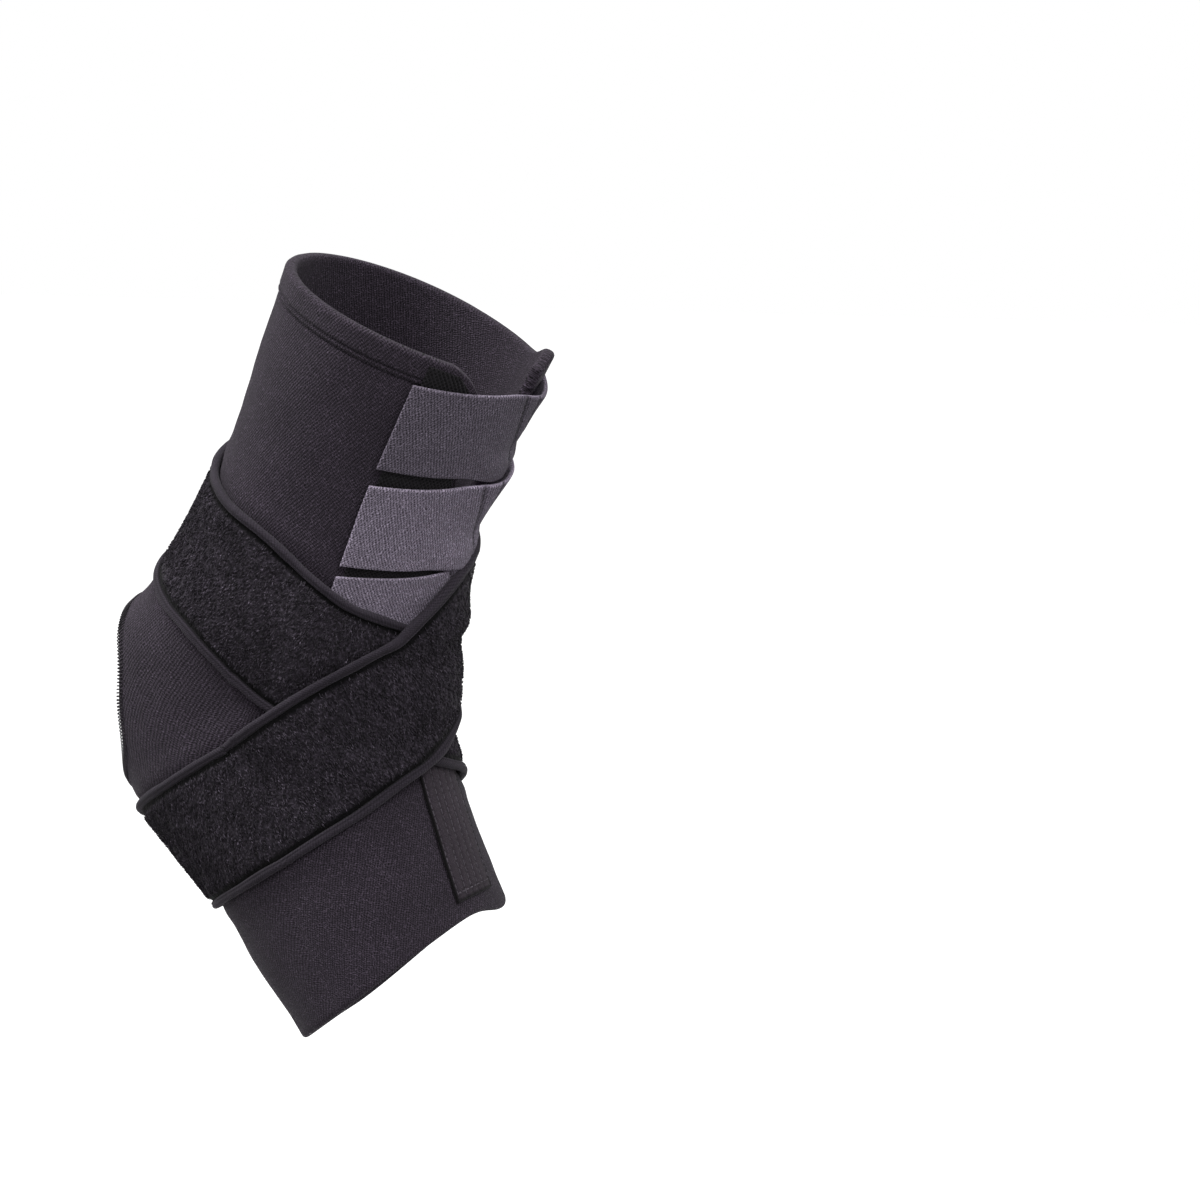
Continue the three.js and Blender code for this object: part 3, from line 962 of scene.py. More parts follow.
def new_group(
    name: str, inputs: dict[str, float | None], output: str
) -> tuple[bpy.types.NodeTree, Tree, dict[str, Socket], Socket]:
    """A shader group with named sockets.

    Args:
        name: the group's name.
        inputs: names and default numbers, None for a vector.
        output: name of its one number output.

    Returns:
        The group, a Tree on it, its input sockets by name and the socket to join its result to.
    """
    group = bpy.data.node_groups.new(name, "ShaderNodeTree")
    for key, value in inputs.items():
        kind = "NodeSocketVector" if value is None else "NodeSocketFloat"
        socket = group.interface.new_socket(key, in_out="INPUT", socket_type=kind)
        if value is not None:
            socket.default_value = value
    group.interface.new_socket(output, in_out="OUTPUT", socket_type="NodeSocketFloat")
    tree = Tree(group)
    given = tree.add("NodeGroupInput").outputs
    result = tree.add("NodeGroupOutput").inputs[output]
    return group, tree, {key: given[key] for key in inputs}, result


class Effects:
    """The node groups that the finishes share, each built once."""

    def __init__(self) -> None:
        """Builds the groups."""
        self.weave = self._weave()
        self.flecks = self._flecks()
        self.mottle = self._mottle()
        self.pile = self._pile()
        self.mesh = self._mesh()

    @staticmethod
    def _weave() -> bpy.types.NodeTree:
        """Rows of stitches: a product of two sines, the first slanted, wavering with a noise.

        Returns:
            The group, which gives a height from 0 to 1.
        """
        names = {"Coordinates": None, "Pitch": 1.0, "Stretch": 1.0, "Slant": 0.5}
        group, tree, given, out = new_group("cloth_weave", names, "Height")
        split = tree.add("ShaderNodeSeparateXYZ")
        tree.join(given["Coordinates"], split.inputs[0])
        waver = tree.noise(given["Coordinates"], 0.35, 1.0)
        waver = tree.math("MULTIPLY", tree.math("SUBTRACT", waver, 0.5), 1.6)
        u = tree.math("DIVIDE", tree.math("ADD", split.outputs["X"], waver), given["Pitch"])
        v = tree.math("DIVIDE", tree.math("ADD", split.outputs["Y"], waver), given["Pitch"])
        v = tree.math("DIVIDE", v, given["Stretch"])
        slanted = tree.math("ADD", u, tree.math("MULTIPLY", v, given["Slant"]))
        first = tree.math("SINE", tree.math("MULTIPLY", slanted, 2 * math.pi))
        second = tree.math("SINE", tree.math("MULTIPLY", v, 2 * math.pi))
        both = tree.math("MULTIPLY", first, second)
        tree.join(tree.math("MULTIPLY_ADD", both, 0.5, 0.5), out)
        return group

    @staticmethod
    def _flecks() -> bpy.types.NodeTree:
        """Scattered bright specks: the peaks of a fine noise.

        Returns:
            The group, which gives a mask.
        """
        names = {"Coordinates": None, "Size": 0.7}
        group, tree, given, out = new_group("cloth_flecks", names, "Mask")
        value = tree.noise(given["Coordinates"], tree.math("DIVIDE", 1.0, given["Size"]), 1.0)
        tree.join(tree.ranged(value, 0.52, 0.78), out)
        return group

    @staticmethod
    def _mottle() -> bpy.types.NodeTree:
        """Broad unevenness of tone: a soft noise about one.

        Returns:
            The group, which gives a factor for the colour.
        """
        names = {"Coordinates": None, "Size": 12.0, "Amount": 0.2}
        group, tree, given, out = new_group("cloth_mottle", names, "Tone")
        value = tree.noise(given["Coordinates"], tree.math("DIVIDE", 1.0, given["Size"]), 3.0)
        value = tree.math("MULTIPLY", tree.math("SUBTRACT", value, 0.5), 2.0)
        tree.join(tree.math("MULTIPLY_ADD", value, given["Amount"], 1.0), out)
        return group

    @staticmethod
    def _pile() -> bpy.types.NodeTree:
        """Brushed loops: distance in stretched cells, broken up by a noise.

        Returns:
            The group, which gives a height from 0 to 1.
        """
        names = {"Coordinates": None, "Pitch": 1.1, "Stretch": 1.4}
        group, tree, given, out = new_group("cloth_pile", names, "Height")
        scale = tree.add("ShaderNodeVectorMath", operation="MULTIPLY")
        size = tree.add("ShaderNodeCombineXYZ")
        across = tree.math("DIVIDE", 1.0, given["Pitch"])
        tree.join(across, size.inputs[0])
        tree.join(tree.math("DIVIDE", across, given["Stretch"]), size.inputs[1])
        tree.join(given["Coordinates"], scale.inputs[0])
        tree.join(size.outputs[0], scale.inputs[1])
        cells = tree.add("ShaderNodeTexVoronoi", feature="F1")
        cells.inputs["Scale"].default_value = 1.0
        tree.join(scale.outputs[0], cells.inputs["Vector"])
        fine = tree.noise(scale.outputs[0], 1.7, 3.0)
        near = tree.ranged(cells.outputs["Distance"], 0.0, 0.75, 1.0, 0.0)
        tree.join(tree.math("MULTIPLY", near, tree.ranged(fine, 0.2, 0.75)), out)
        return group

    @staticmethod
    def _mesh() -> bpy.types.NodeTree:
        """Open mesh: two crossed families of slanted threads with holes between them.

        Returns:
            The group, which gives a height from 0 to 1.
        """
        names = {"Coordinates": None, "Pitch": 1.3, "Stretch": 1.2}
        group, tree, given, out = new_group("cloth_mesh", names, "Height")
        split = tree.add("ShaderNodeSeparateXYZ")
        tree.join(given["Coordinates"], split.inputs[0])
        u = tree.math("DIVIDE", split.outputs["X"], given["Pitch"])
        v = tree.math("DIVIDE", tree.math("DIVIDE", split.outputs["Y"], given["Pitch"]), given["Stretch"])
        families = []
        for sense in ("ADD", "SUBTRACT"):
            phase = tree.math("MULTIPLY", tree.math(sense, u, v), math.pi)
            families.append(tree.math("ABSOLUTE", tree.math("SINE", phase)))
        hole = tree.math("MULTIPLY", *families)
        tree.join(tree.ranged(hole, 0.15, 0.75, 1.0, 0.0), out)
        return group

    @staticmethod
    def placed(
        tree: Tree, group: bpy.types.NodeTree, where: Socket, **values: float
    ) -> Socket:
        """Places a group in a material and sets its values.

        Args:
            tree: the material's tree.
            group: the group.
            where: coordinates in millimetres.
            values: its other inputs, by lower-case name.

        Returns:
            The group's output.
        """
        node = tree.add("ShaderNodeGroup")
        node.node_tree = group
        tree.join(where, node.inputs["Coordinates"])
        for key, value in values.items():
            node.inputs[key.capitalize()].default_value = value
        return node.outputs[0]

    def material(self, finish: Finish) -> bpy.types.Material:
        """A material whose colour and relief come from the finish's pattern.

        Args:
            finish: the finish.

        Returns:
            The material.
        """
        made = bpy.data.materials.new(finish.name)
        made.use_nodes = True
        tree = Tree(made.node_tree)
        shader = made.node_tree.nodes["Principled BSDF"]
        shader.inputs["Roughness"].default_value = finish.roughness
        shader.inputs["Sheen Weight"].default_value = finish.sheen
        shader.inputs["Sheen Roughness"].default_value = 0.5
        shader.inputs["Specular IOR Level"].default_value = 0.12
        cloth = tree.add("ShaderNodeUVMap", uv_map=CLOTH_MAP).outputs[0]
        place = tree.add("ShaderNodeVectorMath", operation="SCALE")
        tree.join(tree.add("ShaderNodeTexCoord").outputs["Object"], place.inputs[0])
        place.inputs["Scale"].default_value = 1000
        solid = place.outputs[0]
        size = {"pitch": finish.pitch, "stretch": finish.stretch}
        if finish.pattern in (Pattern.WEAVE, Pattern.THREAD):
            where = solid if finish.pattern is Pattern.THREAD else cloth
            height = self.placed(tree, self.weave, where, **size, slant=finish.slant)
        else:
            group = self.pile if finish.pattern is Pattern.PILE else self.mesh
            height = self.placed(tree, group, cloth, **size)
        tone = self.placed(tree, self.mottle, solid, size=14.0, amount=finish.mottle)
        # The pattern's raised threads lighter and its hollows darker: partly the cloth's own pattern, partly
        # painted shade in the hollows.
        light = tree.ranged(height, 0.0, 1.0, 1 - finish.contrast, 1 + finish.contrast)
        if finish.fleck:
            mask = self.placed(tree, self.flecks, solid, size=finish.fleck_size)
            light = tree.math("MULTIPLY_ADD", mask, 2 * finish.fleck, light)
            height = tree.math("MULTIPLY_ADD", mask, 0.4, height)
        # The shade attribute multiplies the colour: painted shade in grooves, beside the bindings and along
        # the tape's edges, the tabs' painted shade and lighter edges, and random tone of threads and loops.
        shade = tree.add("ShaderNodeAttribute", attribute_name=SHADE).outputs["Fac"]
        light = tree.math("MULTIPLY", tree.math("MULTIPLY", light, tone), shade)
        colour = tree.add("ShaderNodeVectorMath", operation="SCALE")
        colour.inputs[0].default_value = finish.colour
        tree.join(light, colour.inputs["Scale"])
        tree.join(colour.outputs[0], shader.inputs["Base Color"])
        bump = tree.add("ShaderNodeBump")
        bump.inputs["Distance"].default_value = finish.relief / 1000
        tree.join(height, bump.inputs["Height"])
        tree.join(bump.outputs[0], shader.inputs["Normal"])
        return made


class Wardrobe:
    """Gives pieces their finish and their body, and hides the nodes that they stand for."""

    def __init__(self) -> None:
        """Builds the shared effects."""
        self.effects = Effects()
        self.materials: dict[str, bpy.types.Material] = {}

    def dress(self, piece: bpy.types.Object, finish: Finish, *nodes: str) -> bpy.types.Object:
        """Dresses a piece, and hides the nodes that it replaces.

        Args:
            piece: the piece.
            finish: its finish.
            nodes: nodes of the frame that it stands for.

        Returns:
            The piece.
        """
        if finish.name not in self.materials:
            self.materials[finish.name] = self.effects.material(finish)
        piece.data.materials.append(self.materials[finish.name])
        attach(piece, "root")
        if nodes:
            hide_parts(*nodes)
        faces = len(piece.data.polygons)
        log.info("%s: %d points, %d faces", piece.name, len(piece.data.vertices), faces)
        return piece


@dataclass
class Sleeve:
    """The neoprene sleeve with its hem, slit and heel hole, and the threads on it.

    The block is the square part of the grid that is bent round the heel hole.
    """

    hole_top: float = 6
    hole_bottom: float = 44
    hole_turn: float = 46
    hole_power: float = 0.8
    block_along: float = 41
    block_turn: float = 88
    above_block: float = 96
    below_block: float = 64
    hem: float = 9
    hem_rise: float = 0.7
    rows: tuple[float, float] = (8.0, 9.9)
    groove_depth: float = 0.75
    groove_width: float = 0.5
    row_ends: tuple[float, float] = (39, 352)
    rings: int = 18
    keep: int = 14
    knots: tuple[tuple[float, float], ...] = ((2, 3.75), (0.2, 3.7), (-0.75, 1.75), (0.2, -0.2), (2, -0.25))

    @property
    def middle(self) -> float:
        """Distance along the form of the heel hole's middle."""
        return (self.hole_top + self.hole_bottom) / 2

    def hole_rim(self, angle: Array, inset: float = 0) -> tuple[Array, Array]:
        """The heel hole's edge, a superellipse.

        Args:
            angle: places round the hole, in radians.
            inset: how far outside the edge, in millimetres.

        Returns:
            Distances along the form and angles round it.
        """
        reach = (self.hole_bottom - self.hole_top) / 2
        along = self.middle + (reach + inset) * power(np.cos(angle), self.hole_power)
        turn = 180 + (self.hole_turn + inset / 0.7) * power(np.sin(angle), self.hole_power)
        return along, turn

    def shares(self) -> tuple[Array, Array, Array, Array]:
        """Shares of the way between edge and block at which rows and columns lie.

        Returns:
            Rows above and below the block, and columns before and after it.
        """
        rim = [0, 0.12, 0.4, 0.9, 1.6, 2.4, 3.3, 4.3]
        hem = [5.3, 6.3, 7.2, 7.7, 8.1, 8.6, 9.1, 9.6, 10, 10.5, 11.2]
        upper = np.array([*rim, *hem, 12.4]) / self.above_block
        lower = np.array([*rim, 5.6]) / self.below_block
        upper = np.concatenate([upper[:-1], np.linspace(upper[-1], 1, 56)])
        lower = 1 - np.concatenate([lower[:-1], np.linspace(lower[-1], 1, 38)])[::-1]
        return upper, lower, np.linspace(0, 1, 56) ** 1.4, 1 - np.linspace(1, 0, 50) ** 1.35

    def place(self) -> tuple[Array, Array, Array, Array]:
        """The sleeve's grid, bent round the heel hole.

        Rows run from rim to rim, and columns from the slit's outer edge round the back to its
        inner edge.

        Returns:
            Distances along the form, angles round it, distances to the nearest edge and whether
            each place is kept.
        """
        upper, lower, left, right = self.shares()
        first, last = self.middle - self.block_along, self.middle + self.block_along
        side = self.keep + 2 * self.rings
        steps = np.linspace(-1, 1, side + 1)
        top, start = len(upper) - 1, len(left) - 1
        bottom = top + side + 1
        count = bottom + len(lower) - 1
        block_rows = self.middle + self.block_along * steps
        inner_edge = 360 + LAYERS.slit_inner
        above = between(-FORM.cuff_height, first, upper[:-1])
        estimate = np.concatenate([above, block_rows, np.full(len(lower) - 1, last)])
        before = between(LAYERS.opened(estimate)[:, None], 180 - self.block_turn, left[None, :-1])
        after = between(180 + self.block_turn, inner_edge, right[1:])
        across = np.concatenate([180 + self.block_turn * steps, after])
        turn = np.concatenate([before, np.broadcast_to(across, (count, len(across)))], axis=1)
        along = np.zeros(turn.shape)
        along[:top] = between(LAYERS.top_rim(turn[:top]), first, upper[:-1, None])
        along[top:bottom] = block_rows[:, None]
        along[bottom:] = between(last, LAYERS.toe_rim(turn[bottom:]), lower[1:, None])
        opened = LAYERS.opened(along)
        turn[:, :start] = between(opened[:, :start], 180 - self.block_turn, left[None, :-1])
        edge = np.minimum(along - LAYERS.top_rim(turn), LAYERS.toe_rim(turn) - along)
        slit = np.minimum(turn - opened, inner_edge - turn) / FORM.turn_per_mm
        edge = np.where(along < LAYERS.slit_foot - 0.5, np.minimum(edge, slit), edge)
        kept = np.ones(along.shape, bool)
        block = (slice(top, bottom), slice(start, start + side + 1))
        along[block], turn[block], gap, kept[block] = self.bent(steps)
        edge[block] = np.minimum(edge[block], gap)
        return along, turn, np.maximum(edge, 0), kept

    def bent(self, steps: Array) -> tuple[Array, Array, Array, Array]:
        """The block as a ring: a point at a share w from the hole's edge lies at (1 - w) of the
        hole's superellipse and w of the block's border.

        Args:
            steps: its rows and columns, from -1 to 1.

        Returns:
            Distances along the form, angles round it, distances to the hole's edge and whether
            each place is outside the hole.
        """
        u, v = np.meshgrid(steps, steps, indexing="ij")
        far = np.maximum(np.abs(u), np.abs(v))
        inner = self.keep / (len(steps) - 1)
        w = np.clip((far - inner) / (1 - inner), 0, 1) ** 1.5
        hole_along, hole_turn = self.hole_rim(np.arctan2(v, u))
        safe = np.maximum(far, 1e-6)
        along = between(hole_along, self.middle + self.block_along * u / safe, w)
        turn = between(hole_turn, 180 + self.block_turn * v / safe, w)
        gap = np.hypot(along - hole_along, (turn - hole_turn) * FORM.girth(along))
        return along, turn, gap, far > inner - 1e-6

    def outside(self, along: Array, turn: Array, route: StrapRoute) -> Array:
        """Height of the outer face: the wall, the folded hem, its grooves and soft unevenness.

        Args:
            along: distances along the form.
            turn: angles round the form.
            route: the strap's winding line.

        Returns:
            Heights over the form.
        """
        below = along - LAYERS.top_rim(turn)
        rise = self.hem_rise * (1 - smooth(below, self.hem - 0.6, self.hem + 1.6))
        rise = rise - self.groove_depth * dents(below, self.rows, self.groove_width)
        around = turn * 0.62
        soft = 0.22 * ripple(along, around, 3, 34) + 0.1 * ripple(along, around, 5, 11)
        points = FORM.lifted(along, turn, np.full(along.shape, LAYERS.wall))
        strap = route.nearest(points, None) - route.width / 2
        pressed = 0.55 * dents(strap, (3.5,), 3.2) - 0.3 * (1 - smooth(strap, -3, 1.5))
        return LAYERS.wall + rise + soft + pressed

    def build(self, wardrobe: Wardrobe, route: StrapRoute) -> list[bpy.types.Object]:
        """Builds the sleeve, its hem stitches and the overlocked edge of the heel hole.

        Args:
            wardrobe: what dresses the pieces.
            route: the strap's winding line.

        Returns:
            The three pieces.
        """
        along, turn, edge, kept = self.place()
        size = along.size
        outer = self.outside(along, turn, route)
        middle, half = outer / 2, outer / 2 * pinch(edge, 1.5)
        top = FORM.lifted(along, turn, middle + half)
        bottom = FORM.lifted(along, turn, middle - half)
        index = np.arange(size).reshape(along.shape)
        solid = kept[:-1, :-1] & kept[1:, :-1] & kept[1:, 1:] & kept[:-1, 1:]
        face = quads(index)[solid.reshape(-1)]
        weld = np.arange(2 * size)
        closed = along[:, 0] >= LAYERS.slit_foot
        weld[index[closed, -1]] = index[closed, 0]
        weld[index[closed, -1] + size] = index[closed, 0] + size
        sides = np.concatenate([face[:, [k, (k + 1) % 4]] for k in range(4)])
        keys = np.sort(weld[sides], axis=1)
        _, inverse, counts = np.unique(keys, axis=0, return_inverse=True, return_counts=True)
        border = sides[counts[inverse.reshape(-1)] == 1]
        walls = np.concatenate([border[:, ::-1], border + size], axis=1)
        around = turn * np.mean(FORM.girth(along))
        uv = np.stack([around, along], axis=-1).reshape(-1, 2)
        # Painted shade: the colour is darker along the hem's two stitch grooves.
        dark = dents(along - LAYERS.top_rim(turn), self.rows, 0.45)
        shade = (1 - 0.45 * np.clip(dark, 0, 1)).reshape(-1)
        cloth = Cloth(
            np.concatenate([top.reshape(-1, 3), bottom.reshape(-1, 3)]),
            np.concatenate([face, face[:, ::-1] + size, walls]),
            np.concatenate([uv, uv]),
            np.concatenate([shade, np.ones(size)]),
            weld,
        )
        sleeve = wardrobe.dress(cloth.made("sleeve_shell"), JERSEY, "sleeve")
        hem = wardrobe.dress(self.hem_stitches(route).made("hem_stitches"), GREY_THREAD)
        overlock = wardrobe.dress(self.overlock().made("heel_overlock"), DARK_THREAD)
        return [sleeve, hem, overlock]

    def hem_stitches(self, route: StrapRoute) -> Cloth:
        """Two rows of stitches round the cuff, in the hem's grooves.

        Args:
            route: the strap's winding line.

        Returns:
            The stitches as one cloth.
        """
        paths = []
        for row in self.rows:
            turn = np.linspace(*self.row_ends, 500)
            along = LAYERS.top_rim(turn) + row
            paths.append((along, turn, self.outside(along, turn, route)))
        return stitched(paths, pitch=1.9, thread=0.42, sink=0.02)

    def overlock(self) -> Cloth:
        """Threads that wrap the heel hole's edge, each an arch over the knots from face to face.

        Returns:
            The threads as one cloth.
        """
        fine = np.linspace(0, 2 * np.pi, 2000)
        line = FORM.lifted(*self.hole_rim(fine), np.full(fine.shape, LAYERS.wall / 2))
        lengths = running(line)
        angles = np.interp(np.arange(0, lengths[-1], 1.15), lengths, fine)
        seed, faces = capsule(6)
        frames, centres, scales = [], [], []
        for (inset_a, height_a), (inset_b, height_b) in zip(self.knots, self.knots[1:]):
            start = FORM.lifted(*self.hole_rim(angles, inset_a), np.full(angles.shape, height_a))
            stop = FORM.lifted(*self.hole_rim(angles + 0.004, inset_b), np.full(angles.shape, height_b))
            x = stop - start
            long = np.linalg.norm(x, axis=1, keepdims=True)
            x = x / long
            y = unit(np.cross(x, np.roll(start, 1, axis=0) - start))
            frames.append(np.stack([x, y, np.cross(x, y)], axis=1))
            centres.append((start + stop) / 2)
            scales.append(np.concatenate([long * 1.15, np.full((len(long), 2), 0.5)], axis=1))
        centre, scale = np.concatenate(centres), np.concatenate(scales)
        shade = np.random.default_rng(8).uniform(0.9, 1.7, len(centre))
        return copies(seed, faces, np.concatenate(frames), centre, scale, shade)


@dataclass
class LoopPatch:
    """The mesh that the tabs close on."""

    top: float = 4
    bottom: float = 2
    rear: float = 57
    inset: float = 4
    width: float = 38

    def build(self, wardrobe: Wardrobe) -> bpy.types.Object:
        """Builds the patch, a sheet between the slit's edge and its own rear edge.

        Args:
            wardrobe: what dresses the pieces.

        Returns:
            The patch.
        """
        length = FORM.cuff_height - self.top - self.bottom
        down = spread(length, 1.0)
        across = spread(self.width, 0.9)
        along = np.broadcast_to((-FORM.cuff_height + self.top + down)[:, None], (len(down), len(across)))
        start = LAYERS.slit_edge(along) + self.inset * FORM.turn_per_mm
        turn = between(start, self.rear, across[None] / self.width)
        edge = np.minimum(
            np.minimum(down, length - down)[:, None],
            np.minimum(turn - start, self.rear - turn) / FORM.turn_per_mm,
        )
        u, v = turn / FORM.turn_per_mm, along
        rise, fall = (np.sin(np.pi * (u + way * v / LOOPS.stretch) / LOOPS.pitch) for way in (1, -1))
        holes = np.abs(rise * fall)
        low = np.full(along.shape, LAYERS.wall + LAYERS.gap)
        high = low + LAYERS.patch - 0.3 * smooth(holes, 0.2, 0.8)
        cloth = slab(along, turn, low, high, np.maximum(edge, 0), np.stack([u, v], axis=-1))
        piece = wardrobe.dress(cloth.made("loop_patch_mesh"), LOOPS, "loop_patch")
        return piece


@dataclass
class ClosingTabs:
    """The three grey tabs that close the slit, with their seams and lighter edges."""

    seams: tuple[tuple[float, float], ...] = ((8, -9), (-2, -15))
    # Painted shade for each tab: the upper tab is painted darker than the other two.
    painted_shades: tuple[float, float, float] = (0.58, 1.0, 0.93)
    bulge: float = 4.5
    lap: float = 3.0
    drop: float = 3.5

    def lines(self, tab: Tab, turn: Array) -> tuple[Array, Array]:
        """Upper and lower edge of a tab.

        The upper tab's upper edge drops toward its root, and the lower edge of the other tabs runs
        on over the next one there.

        Args:
            tab: the tab.
            turn: angles round the form.

        Returns:
            Both edges' distances along the form.
        """
        middle = LAYERS.tab_middle(tab, turn)
        near_root = 1 - smooth(turn, -2, 24)
        dropped = self.drop * (1 - smooth(turn, -15, 15)) * (tab is TABS[0])
        upper = middle - LAYERS.tab_width / 2 + dropped
        lower = middle + LAYERS.tab_width / 2 + self.lap * near_root * (tab is not TABS[2])
        return upper, lower

    def base(self, tab: Tab, turn: Array, share: Array) -> Array:
        """Height of a tab's underside: over the patch, bowed over the slit, down at the root.

        Args:
            tab: the tab.
            turn: angles round the form.
            share: shares of the way across the tab, from its upper edge to its lower one.

        Returns:
            Heights over the form.
        """
        bowed = 1 - smooth(np.abs(turn + 10), 4, 30)
        down = 1 - smooth(turn, LAYERS.root_turn, LAYERS.slit_inner)
        lift = self.bulge * tab.bulge * bowed * (1 - share) ** 1.3
        over_next = (LAYERS.tab + 0.2) * smooth(share, 0.62, 0.86) * (1 - smooth(turn, -2, 26))
        over_next = over_next * (tab is not TABS[2])
        return LAYERS.tab_base - (LAYERS.patch + LAYERS.gap) * down + lift + over_next

    def build(self, wardrobe: Wardrobe) -> list[bpy.types.Object]:
        """Builds the tabs and their stitches.

        Args:
            wardrobe: what dresses the pieces.

        Returns:
            The three tabs and their stitches.
        """
        pieces, seams = [], []
        round_ = spread((LAYERS.free_turn - LAYERS.root_turn) / FORM.turn_per_mm, 0.9)
        turn = (LAYERS.free_turn - round_ * FORM.turn_per_mm)[:, None]
        for number, tab in enumerate(TABS):
            share = spread(LAYERS.tab_width, 0.8)[None] / LAYERS.tab_width
            upper, lower = self.lines(tab, turn)
            along = between(upper, lower, share)
            low = self.base(tab, turn, share)
            lines = tuple(between(above, below, share) for above, below in self.seams)
            groove = dents(turn, lines, 0.75 * FORM.turn_per_mm)
            u, v = np.broadcast_arrays(round_[:, None], share * LAYERS.tab_width)
            soft = 0.12 * ripple(u, v, 20 + number, 16)
            high = low + LAYERS.tab + soft - 0.6 * groove
            edge = np.minimum(
                np.minimum(round_, round_[-1] - round_)[:, None],
                np.minimum(v, LAYERS.tab_width - v),
            )
            whole_turn = np.broadcast_to(turn, along.shape)
            # Painted shade in the seam grooves, lighter colour along the edges, and each tab's painted
            # shade.
            shade = 1 - 0.75 * np.clip(groove, 0, 1) + 0.35 * (1 - smooth(edge, 0.2, 0.9))
            shade = shade * self.painted_shades[number]
            uv = np.stack([u, v], axis=-1)
            cloth = slab(along, whole_turn, low, high, edge, uv, radius=0.7, shade=shade)
            piece = wardrobe.dress(cloth.made(tab.name), TRICOT, tab.node)
            pieces.append(piece)
            share_line = np.linspace(0.03, 0.97, 80)
            for above, below in self.seams:
                line_turn = between(above, below, share_line)
                line = between(*self.lines(tab, line_turn), share_line)
                height = self.base(tab, line_turn, share_line) + LAYERS.tab - 0.6
                seams.append((line, line_turn, height))
        threads = stitched(seams, pitch=2.2, thread=0.5, sink=0)
        pieces.append(wardrobe.dress(threads.made("tab_stitches"), DARK_THREAD))
        return pieces


@dataclass
class InstepTape:
    """The stitched tape down the instep."""

    rows: tuple[float, ...] = (-10.3, -5.2, -1.6, 2.4, 6.0, 10.3)
    cross_row: float = 3.0

    def build(self, wardrobe: Wardrobe) -> list[bpy.types.Object]:
        """Builds the tape and its rows of stitches.

        Args:
            wardrobe: what dresses the pieces.

        Returns:
            The tape and its stitches.
        """
        length = LAYERS.tape_bottom - LAYERS.tape_top
        down = spread(length, 1.0)
        width = LAYERS.tape_span / FORM.turn_per_mm
        across = spread(width, 0.7)
        along = np.broadcast_to((LAYERS.tape_top + down)[:, None], (len(down), len(across)))
        turn = LAYERS.tape_middle(along) + ((across - width / 2) * FORM.turn_per_mm)[None]
        edge = np.minimum(np.minimum(down, length - down)[:, None], np.minimum(across, width - across))
        middle = across[None] - width / 2
        groove = dents(middle, self.rows, 0.6) + dents(length - down, (self.cross_row,), 0.6)[:, None]
        pucker = 0.14 * np.sin(2 * np.pi * down / 2.3)[:, None] * np.clip(groove, 0, 1)
        low = np.full(along.shape, LAYERS.wall + LAYERS.gap)
        high = low + LAYERS.tape - 0.25 * np.clip(groove, 0, 1) + pucker
        high = high + 0.12 * ripple(along, middle + 0 * along, 31, 14)
        # Painted shade in the stitch grooves, and a painted shadow line, nearly black, along the tape's
        # edges where it meets the sleeve.
        shade = (1 - 0.35 * np.clip(groove, 0, 1)) * (0.06 + 0.94 * smooth(edge, 0.5, 1.5))
        uv = np.stack([along, middle + 0 * along], axis=-1)
        cloth = slab(along, turn, low, high, edge, uv, radius=0.7, shade=shade)
        tape = wardrobe.dress(cloth.made("instep_tape_strip"), TAPE, "instep_tape")
        base = LAYERS.wall + LAYERS.gap + LAYERS.tape - 0.22
        paths = []
        for row in self.rows:
            run = np.linspace(LAYERS.tape_top + 2, LAYERS.tape_bottom - 2.5, 300)
            turns = LAYERS.tape_middle(run) + row * FORM.turn_per_mm
            paths.append((run, turns, np.full(300, base)))
        sweep = np.linspace(-width / 2 + 1.2, width / 2 - 1.2, 80) * FORM.turn_per_mm
        end = np.full(80, LAYERS.tape_bottom - self.cross_row)
        paths.append((end, LAYERS.tape_middle(end) + sweep, np.full(80, base)))
        rows = stitched(paths, pitch=2.3, thread=0.55, sink=0)
        threads = wardrobe.dress(rows.made("tape_stitches"), GREY_THREAD)
        return [tape, threads]


